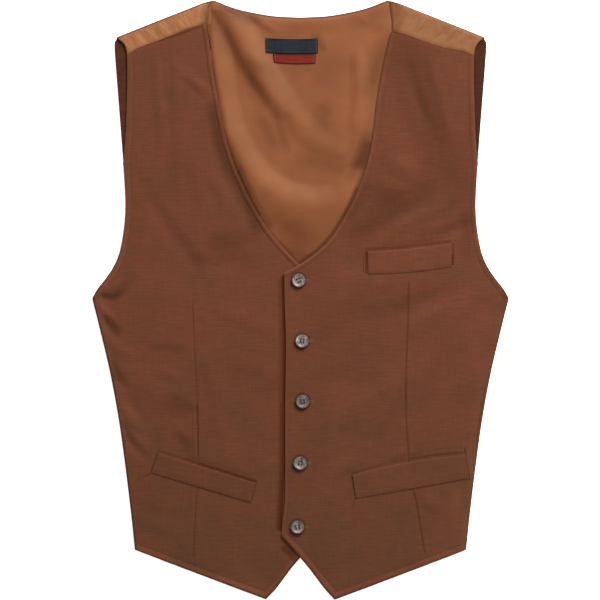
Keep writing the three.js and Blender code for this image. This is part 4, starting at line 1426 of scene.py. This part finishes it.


# Painted shadow lines along the free edges, and the darts' lines, partly seam and partly painted shade:
# lowest and highest y, number of stretches, shift in x, half width, softness, share
PLACKET_SHADES = [edge_line(OVER, *row) for row in (
    (-246.0, 24.0, 4, -1.5, 1.0, 1.7, 0.95),
    (-240.0, 20.0, 4, -3.2, 0.6, 5.5, 0.42),
    (-244.0, -112.0, 2, -3.0, 0.6, 4.6, 0.72),
)]
NECK_SHADES = [edge_line(*row) for row in (
    (UNDER, 42.0, 152.0, 6, 0.6, 0.9, 1.8, 0.22),
    (UNDER, 76.0, 156.0, 5, 1.2, 0.8, 2.2, 0.42),
    (UNDER, 84.0, 146.0, 4, 1.2, 1.0, 2.2, 0.65),
    (UNDER, 92.0, 138.0, 3, 1.2, 1.2, 2.2, 0.88),
    (UNDER, 80.0, 140.0, 4, 3.0, 1.2, 7.0, 0.42),
    (UNDER, 36.0, 62.0, 2, 1.2, 1.0, 3.0, 0.35),
    (OVER, 36.0, 118.0, 5, -0.6, 1.6, 3.4, 0.66),
    (OVER, 118.0, 165.0, 3, -1.0, 0.5, 6.0, 0.42),
    (OVER, 224.0, 280.0, 2, -0.4, 0.8, 2.2, 0.25),
    (UNDER, 160.0, 282.0, 3, 0.6, 0.4, 3.0, 0.12),
)]
RIGHT_LINES = placed(RIGHT_PAINTED_SHADOWS) + PLACKET_SHADES + [
    dart_line(UNDER, -275.0, -5.0, 5, -0.3, 0.15, 1.2, 0.4),
    dart_line(UNDER, -166.0, -112.0, 2, -0.3, 0.35, 1.2, 0.7),
    dart_line(UNDER, -225.0, -120.0, 2, -5.4, 0.2, 1.3, 0.22)]
LEFT_LINES = placed(LEFT_PAINTED_SHADOWS) + button_painted_shadows() + [
    dart_line(OVER, -268.0, 20.0, 6, 0.0, 0.35, 1.5, 0.4)]
SUITING_TONES = (srgb(83, 47, 31), srgb(90, 51, 34), srgb(97, 55, 37))
# Painted highlight colours of the edge band and hem band, partly their own redder tone
SUITING_EDGE_HIGHLIGHT = srgb(94, 54, 36)
SUITING_HEM_HIGHLIGHT = srgb(102, 55, 37)
SUITING = suiting_material("suiting welts", *SUITING_TONES)
# Parts of each front whose faces share a material with the lines drawn there: left, bottom, right, top
ZONE_MARGIN = 6.0
RIGHT_ZONES = [(-180, -230, -40, -155), (-132, -300, -102, 20), (-35, -290, 25, 35), (-205, 250, -90, 330)]
LEFT_ZONES = [(45, -230, 195, -155), (55, 15, 175, 75), (-35, -265, 16, 35), (104, -300, 142, 35),
              (90, 245, 205, 330)]


def zoned_suiting(name, zones, lines):
    """The front's plain suiting, then one material for each zone"""
    materials = [suiting_material(f"{name} plain", *SUITING_TONES, edge=SUITING_EDGE_HIGHLIGHT)]
    for k, (left, bottom, right, top) in enumerate(zones):
        wide = (left - ZONE_MARGIN, bottom - ZONE_MARGIN, right + ZONE_MARGIN, top + ZONE_MARGIN)
        materials.append(suiting_material(f"{name} {k + 1}", *SUITING_TONES, SUITING_EDGE_HIGHLIGHT, lines, wide))
    return materials


def zone_slot(zones):
    def slot(middle, normal):
        for k, (left, bottom, right, top) in enumerate(zones):
            if left < middle.x < right and bottom < middle.y < top:
                return k + 1
        return 0
    return slot


SUITING_RIGHT = zoned_suiting("suiting right front", RIGHT_ZONES, RIGHT_LINES)
SUITING_LEFT = zoned_suiting("suiting left front", LEFT_ZONES, LEFT_LINES)
# Suiting facing of the armholes, its colour darker than the fronts' suiting as painted shade
FACING_IN_PAINTED_SHADE = suiting_material("suiting facing in painted shade", srgb(57, 31, 19), srgb(65, 35, 22), srgb(73, 40, 26))
# The lining is darker than the back's satin, partly its own cloth and partly painted shade; its edge colour
# is a painted shadow line
LINING = satin_material("satin lining", srgb(105, 59, 34), srgb(109, 62, 36), srgb(113, 65, 38),
                        turned=srgb(64, 40, 30), rough=0.5, gloss=0.3, wrinkle=0.0,
                        shade_tint=(0.45, 0.31, 0.27, 1), lines=NECK_SHADES)
SATIN = satin_material("satin back", srgb(124, 78, 49), srgb(130, 83, 53), srgb(136, 87, 56),
                       turned=srgb(122, 77, 48), rough=0.45, gloss=0.35, wrinkle=0.0008,
                       shade_tint=(0.41, 0.39, 0.38, 1))
LABEL_BLACK = label_material("label_black", srgb(20, 25, 28), srgb(32, 38, 42))
LABEL_RED = label_material("label_red", srgb(84, 25, 19), srgb(104, 34, 26))
THREAD_BROWN = plain_thread("brown thread", srgb(88, 52, 36))
THREAD_PALE = plain_thread("buttonhole thread", srgb(116, 82, 58))
THREAD_DARK = plain_thread("dark thread", srgb(58, 48, 43))
THREAD_GREY = plain_thread("label thread", srgb(92, 84, 70))


# Where the back's straps are, and the suiting facing inside its armholes, darker than the fronts' suiting as
# painted shade
STRAP_LOW = (97, 250, 2.6)
FACING_WIDTH = 16
FACING_TOP_Z = 2.9
FACING_Y = (150, 290)


def back_face_slot(middle, normal):
    """Satin outside and on the straps, lining inside, and suiting facing in painted shade inside the armholes
    """
    on_strap = abs(middle.x) > STRAP_LOW[0] and middle.y > STRAP_LOW[1] and middle.z > STRAP_LOW[2]
    if normal.z <= -0.2 or on_strap:
        return 0
    beside_armhole = outline_half(middle.y) - abs(middle.x) < FACING_WIDTH
    faced = beside_armhole and middle.z < FACING_TOP_Z and FACING_Y[0] < middle.y < FACING_Y[1]
    return 2 if faced else 1


def front_cloth(name, front, materials, zones):
    return cloth(name, front_patches(front), FRONT_WALL, materials, zone_slot(zones))


def welt_cloth(name, shape, front, tone):
    patches = strip_patches(shape, over_cloth(front), WELT_WALL, flush=True, tone=tone)
    return cloth(name, patches, WELT_WALL, [SUITING])


def label_cloth(name, shape, material):
    return cloth(name, strip_patches(shape, over_lining, LABEL_WALL, 1.4), LABEL_WALL, [material])


back = cloth("back_cloth", back_patches(), BACK_WALL, [SATIN, LINING, FACING_IN_PAINTED_SHADE], back_face_slot)
right_front = front_cloth("right_front_cloth", UNDER, SUITING_RIGHT, RIGHT_ZONES)
left_front = front_cloth("left_front_cloth", OVER, SUITING_LEFT, LEFT_ZONES)
chest_welt = welt_cloth("chest_welt_cloth", CHEST_WELT, OVER, -0.06)
right_hip_welt = welt_cloth("right_hip_welt_cloth", RIGHT_HIP_WELT, UNDER, 0.1)
left_hip_welt = welt_cloth("left_hip_welt_cloth", LEFT_HIP_WELT, OVER, 0.0)
neck_label = label_cloth("neck_label_cloth", NECK_LABEL, LABEL_BLACK)
small_label = label_cloth("small_label_cloth", SMALL_LABEL, LABEL_RED)


def deselect_in_edit():
    bpy.ops.mesh.select_all(action="DESELECT")


def select_faces(piece, chosen):
    """Select faces in edit mode by a rule on each one's middle and normal, in millimetres"""
    bpy.ops.object.mode_set(mode="OBJECT")
    for polygon in piece.data.polygons:
        polygon.select = chosen(polygon.center / MM, polygon.normal)
    bpy.ops.object.mode_set(mode="EDIT")


# The button's turned face, from its edge inwards: width and depth of each step
BUTTON_STEPS = ((0.8, 0), (1.1, 0), (1.0, -1.0), (1.2, -0.15))


def choose(pieces):
    """Select these pieces alone, the first one active"""
    bpy.ops.object.select_all(action="DESELECT")
    for piece in pieces:
        piece.select_set(True)
    bpy.context.view_layer.objects.active = pieces[0]


def make_button(name):
    """A four-hole button: a turned rim round a dished middle, its flat underside at z 0"""
    bpy.ops.mesh.primitive_cylinder_add(vertices=48, radius=BUTTON_RADIUS * MM, depth=BUTTON_HEIGHT * MM,
                                        location=(0, 0, BUTTON_HEIGHT / 2 * MM))
    button = bpy.context.object
    button.name = name
    bpy.ops.object.transform_apply(location=True, rotation=True, scale=True)
    bpy.ops.object.mode_set(mode="EDIT")
    bpy.ops.mesh.select_mode(type="FACE")
    deselect_in_edit()
    select_faces(button, lambda middle, normal: normal.z > 0.9)
    for width, depth in BUTTON_STEPS:
        bpy.ops.mesh.inset(thickness=width * MM, depth=depth * MM)
    deselect_in_edit()
    select_faces(button, lambda middle, normal: normal.z < -0.9)
    bpy.ops.transform.resize(value=(0.84, 0.84, 1))
    bpy.ops.mesh.select_all(action="SELECT")
    bpy.ops.object.mode_set(mode="OBJECT")
    bevel = button.modifiers.new("rounded edges", "BEVEL")
    bevel.width = 0.35 * MM
    bevel.segments = 3
    bevel.limit_method = "ANGLE"
    bevel.angle_limit = math.radians(20)
    bpy.ops.object.modifier_apply(modifier=bevel.name)
    drills = []
    for sx in (-1, 1):
        for sy in (-1, 1):
            bpy.ops.mesh.primitive_cylinder_add(
                vertices=20, radius=HOLE_RADIUS * MM, depth=3 * BUTTON_HEIGHT * MM,
                location=(sx * HOLE_OFFSET * MM, sy * HOLE_OFFSET * MM, 0))
            drills.append(bpy.context.object)
    choose(drills)
    bpy.ops.object.join()
    drill = bpy.context.object
    cut = button.modifiers.new("holes", "BOOLEAN")
    cut.operation = "DIFFERENCE"
    cut.object = drill
    choose([button])
    bpy.ops.object.modifier_apply(modifier=cut.name)
    bpy.data.objects.remove(drill)
    bpy.ops.object.shade_smooth_by_angle(angle=math.radians(35))
    # Darker rim and dished middle: partly the horn's own colour, partly painted shade
    rim = button.data.attributes.new("rim", "FLOAT", "POINT")
    for vertex in button.data.vertices:
        out = math.hypot(vertex.co.x, vertex.co.y) / MM
        dish = 0.4 * (1 - ease(3.2, 4.6, out))
        rim.data[vertex.index].value = max(dish, ease(BUTTON_RADIUS - 1.7, BUTTON_RADIUS - 0.9, out))
    return button


def copy_at(model, name, place):
    """A copy with its own mesh, its place in its mesh"""
    piece = model.copy()
    piece.data = model.data.copy()
    piece.name = name
    piece.data.transform(place)
    bpy.context.collection.objects.link(piece)
    return piece


def join_pieces(name, parts):
    choose(parts)
    bpy.ops.object.join()
    piece = bpy.context.object
    piece.name = name
    piece.data.name = name
    bpy.ops.object.select_all(action="DESELECT")
    return piece


def make_thread(length, radius, arch, material, sides=6):
    """A short stitch: a thin rod along X whose ends dive down, with its middle at the origin"""
    bpy.ops.mesh.primitive_cylinder_add(vertices=sides, radius=radius * MM, depth=length * MM,
                                        rotation=(0, math.pi / 2, 0))
    stitch = bpy.context.object
    bpy.ops.object.transform_apply(location=True, rotation=True, scale=True)
    bpy.ops.object.mode_set(mode="EDIT")
    bpy.ops.mesh.select_mode(type="FACE")
    deselect_in_edit()
    select_faces(stitch, lambda middle, normal: abs(normal.x) > 0.9)
    bpy.ops.mesh.inset(thickness=radius * 0.4 * MM, depth=radius * 0.5 * MM)
    for end in (0.3, -0.3):
        bpy.ops.mesh.select_all(action="SELECT")
        bpy.ops.mesh.bisect(plane_co=(length * end * MM, 0, 0), plane_no=(1, 0, 0))
    bpy.ops.object.mode_set(mode="OBJECT")
    for vertex in stitch.data.vertices:
        vertex.co.z -= arch * MM * (abs(vertex.co.x) / (length / 2 * MM)) ** 2
    stitch.data.polygons.foreach_set("use_smooth", [True] * len(stitch.data.polygons))
    stitch.data.materials.append(material)
    return stitch


def on_button(k, up=0.0, turn=0.0):
    """The place of something on a button, turned with it, at a height over its underside"""
    bx, by = BUTTONS[k]
    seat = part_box(f"button_{k + 1}")[0][2]
    place = Matrix.Translation((bx * MM, by * MM, seat + up * MM))
    return place @ Matrix.Rotation(BUTTON_TURNS[k] + turn, 4, "Z")


button_model = make_button("button_model")
button_pieces = []
for k, tone in enumerate(HORN_TONES):
    button = copy_at(button_model, f"button_{k + 1}_horn", on_button(k))
    button.data.materials.append(horn_material(f"horn {k + 1}", k, tone))
    button_pieces.append(button)
bpy.data.objects.remove(button_model)

# Thread through the holes of each button, turned differently on each one
THREAD_TURNS = ((0.0,), (math.pi / 2,), (0.0, math.pi / 2), (math.pi / 2,), (math.pi / 2,))
THREAD_UP = 2.35
THREAD_OVER_THREAD = 0.3
STRAND_OFFSET = 0.27
strand_model = make_thread(2 * HOLE_OFFSET + 0.9, 0.26, 0.9, THREAD_DARK, sides=8)
button_threads = []
for k, turns in enumerate(THREAD_TURNS):
    strands = []
    for over, turn in enumerate(turns):
        for offset in (-HOLE_OFFSET, HOLE_OFFSET):
            for beside in (-STRAND_OFFSET, STRAND_OFFSET):
                place = on_button(k, THREAD_UP + THREAD_OVER_THREAD * over, turn)
                place = place @ Matrix.Translation((0, (offset + beside) * MM, 0))
                strands.append(copy_at(strand_model, "strand", place))
    button_threads.append(join_pieces(f"button_{k + 1}_thread", strands))
bpy.data.objects.remove(strand_model)


def along_line(line, spacing, start=0.0):
    """Points every so many millimetres along a line of points, with the direction there"""
    left = start
    found = []
    for (ax, ay), (bx, by) in zip(line, line[1:]):
        length = math.hypot(bx - ax, by - ay)
        while left < length:
            t = left / length
            found.append((mix(ax, bx, t), mix(ay, by, t), math.atan2(by - ay, bx - ax)))
            left += spacing
        left -= length
    return found


def inset_line(line, inset):
    """A line moved to its left by a distance"""
    moved = []
    for k, (x, y) in enumerate(line):
        a = line[max(0, k - 1)]
        b = line[min(len(line) - 1, k + 1)]
        normal = Vector((a[1] - b[1], b[0] - a[0])).normalized()
        moved.append((x + normal.x * inset, y + normal.y * inset))
    return moved


def sew(name, stitch, marks, height_at):
    """One piece of equal stitches, each at a mark (x, y, direction) and tilted with the cloth"""
    model = make_thread(*stitch)
    parts = []
    for x, y, angle in marks:
        dx = math.cos(angle)
        dy = math.sin(angle)
        slope = height_at(x + dx, y + dy) - height_at(x - dx, y - dy)
        place = Matrix.Translation((x * MM, y * MM, height_at(x, y) * MM)) @ Matrix.Rotation(angle, 4, "Z")
        place = place @ Matrix.Rotation(-math.atan(slope / 2), 4, "Y")
        parts.append(copy_at(model, "stitch", place))
    piece = join_pieces(name, parts)
    bpy.data.objects.remove(model)
    return piece


def end_marks(shape, inward, shares, direction=None):
    """Marks up both ends of a strip, set in from them, along each end unless a direction is given"""
    bottom_left, bottom_right, top_right, top_left, _ = shape
    found = []
    for low, high, inset in ((bottom_left, top_left, inward), (bottom_right, top_right, -inward)):
        angle = math.atan2(high[1] - low[1], high[0] - low[0]) if direction is None else direction
        found += [(mix(low[0], high[0], t) + inset, mix(low[1], high[1], t), angle) for t in shares]
    return found


# Each kind of stitch: length, radius, how far its ends dive, thread
PICK = (1.7, 0.16, 0.14, THREAD_BROWN)
TACK = (1.6, 0.15, 0.12, THREAD_BROWN)
HOLE_STITCH = (1.5, 0.2, 0.3, THREAD_PALE)
LABEL_STITCH = (1.4, 0.24, 0.25, THREAD_GREY)
PICK_SPACING = 5.0
PICK_TOP_Y = 256

pick_pieces = []
for front, name in ((UNDER, "right_front_pick_stitches"), (OVER, "left_front_pick_stitches")):
    marks = []
    for line, inset in front.stitched_edges:
        moved = inset_line(line, -front.side * inset)
        marks += [mark for mark in along_line(moved, PICK_SPACING, 6.0)
                  if abs(front.edge_gap(mark[0], mark[1])[0] - inset) < 0.6 and mark[1] < PICK_TOP_Y]
    pick_pieces.append(sew(name, PICK, marks, front.top))

# A row of small stitches holds each end of a welt
TACK_SHARES = [mix(0.12, 0.93, k / 8) for k in range(9)]
TACK_RISE = WELT_WALL + SEAM_GAP
tack_pieces = []
for front, welts, name in ((UNDER, [RIGHT_HIP_WELT], "right_front_tacks"),
                           (OVER, [CHEST_WELT, LEFT_HIP_WELT], "left_front_tacks")):
    marks = [mark for welt in welts for mark in end_marks(welt, 1.7, TACK_SHARES)]
    under = over_cloth(front)
    tack_pieces.append(sew(name, TACK, marks, lambda x, y: under(x, y) + TACK_RISE - 0.04))

# Buttonholes: a ring of close stitches round a slit, mostly under its button
HOLE_LEFT = 8.4
HOLE_RIGHT = 10.6
HOLE_HALF_WIDTH = 0.85
HOLE_STITCHES = 45
marks = []
for bx, by in BUTTONS:
    left = bx - HOLE_LEFT
    right = bx + HOLE_RIGHT
    for k in range(HOLE_STITCHES + 1):
        x = mix(left, right, k / HOLE_STITCHES)
        for side in (-1, 1):
            marks.append((x, by + side * HOLE_HALF_WIDTH, math.pi / 2))
    for k in range(7):
        angle = mix(-math.pi / 2, math.pi / 2, k / 6)
        marks.append((right + HOLE_HALF_WIDTH * math.cos(angle), by + HOLE_HALF_WIDTH * math.sin(angle),
                      angle))
buttonholes = sew("buttonhole_stitches", HOLE_STITCH, marks, OVER.top)

# Short stitches that hold the two labels at their ends
marks = [mark for label in (NECK_LABEL, SMALL_LABEL)
         for mark in end_marks(label, 1.6, [(k + 0.5) / 7 for k in range(7)], math.pi / 2)]
label_stitches = sew("label_stitches", LABEL_STITCH, marks,
                     lambda x, y: over_lining(x, y) + SEAM_GAP + LABEL_WALL + 0.02)

# What each piece stands for, and what it rides on
for piece, node, slot in (
        (back, "back", "satin"), (right_front, "right_front", "suiting"),
        (left_front, "left_front", "suiting"),
        (chest_welt, "chest_welt", "suiting"), (right_hip_welt, "right_hip_welt", "suiting"),
        (left_hip_welt, "left_hip_welt", "suiting"), (neck_label, "neck_label", "label_black"),
        (small_label, "small_label", "label_red")):
    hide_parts(node)
    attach(piece, "root")
for k, button in enumerate(button_pieces):
    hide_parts(f"button_{k + 1}")
    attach(button, "root")
for piece in (*button_threads, *pick_pieces, *tack_pieces, buttonholes, label_stitches):
    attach(piece, "root")

# The paper that it lies on, the light and the camera
bpy.ops.mesh.primitive_plane_add(size=6.0, location=(0, 0, -0.0004))
floor = bpy.context.object
floor.name = "floor"
paper, tree, shader = start_material("white paper")
put_inputs(tree, shader, {"Base Color": (0.93, 0.93, 0.93, 1), "Roughness": 0.9, "Specular IOR Level": 0.1,
                          "Emission Color": (1, 1, 1, 1), "Emission Strength": 0.7})
floor.data.materials.append(paper)

world = bpy.data.worlds.new("studio")
bpy.context.scene.world = world
world.use_nodes = True
world.node_tree.nodes["Background"].inputs["Color"].default_value = (1.0, 0.99, 0.98, 1)
world.node_tree.nodes["Background"].inputs["Strength"].default_value = 0.6

# One large softbox beyond the wearer's left shoulder, aimed at the middle
SOFTBOX_PLACE = (0.8, 1.35, 1.45)
softbox_data = bpy.data.lights.new("right softbox", "AREA")
softbox_data.shape = "SQUARE"
softbox_data.size = 1.2
softbox_data.energy = 78.0
softbox = bpy.data.objects.new("right softbox", softbox_data)
softbox.location = SOFTBOX_PLACE
softbox.rotation_mode = "QUATERNION"
softbox.rotation_quaternion = (-Vector(SOFTBOX_PLACE)).to_track_quat("-Z", "Y")
bpy.context.collection.objects.link(softbox)

camera_data = bpy.data.cameras.new("photograph_camera")
camera_data.lens = LENS
camera_data.sensor_width = SENSOR
camera = bpy.data.objects.new("photograph_camera", camera_data)
middle_x, middle_y = at_pixel(PIXELS / 2, PIXELS / 2)
frame_width = PIXELS * MM_PER_PIXEL * MM
camera.location = (middle_x * MM, middle_y * MM, frame_width * LENS / SENSOR * CAMERA_NEARER + 0.004)
camera_data.clip_start = 0.1
camera_data.clip_end = 20.0
bpy.context.collection.objects.link(camera)
bpy.context.scene.camera = camera
bpy.context.scene.view_settings.view_transform = "Standard"
bpy.context.scene.view_settings.look = "None"
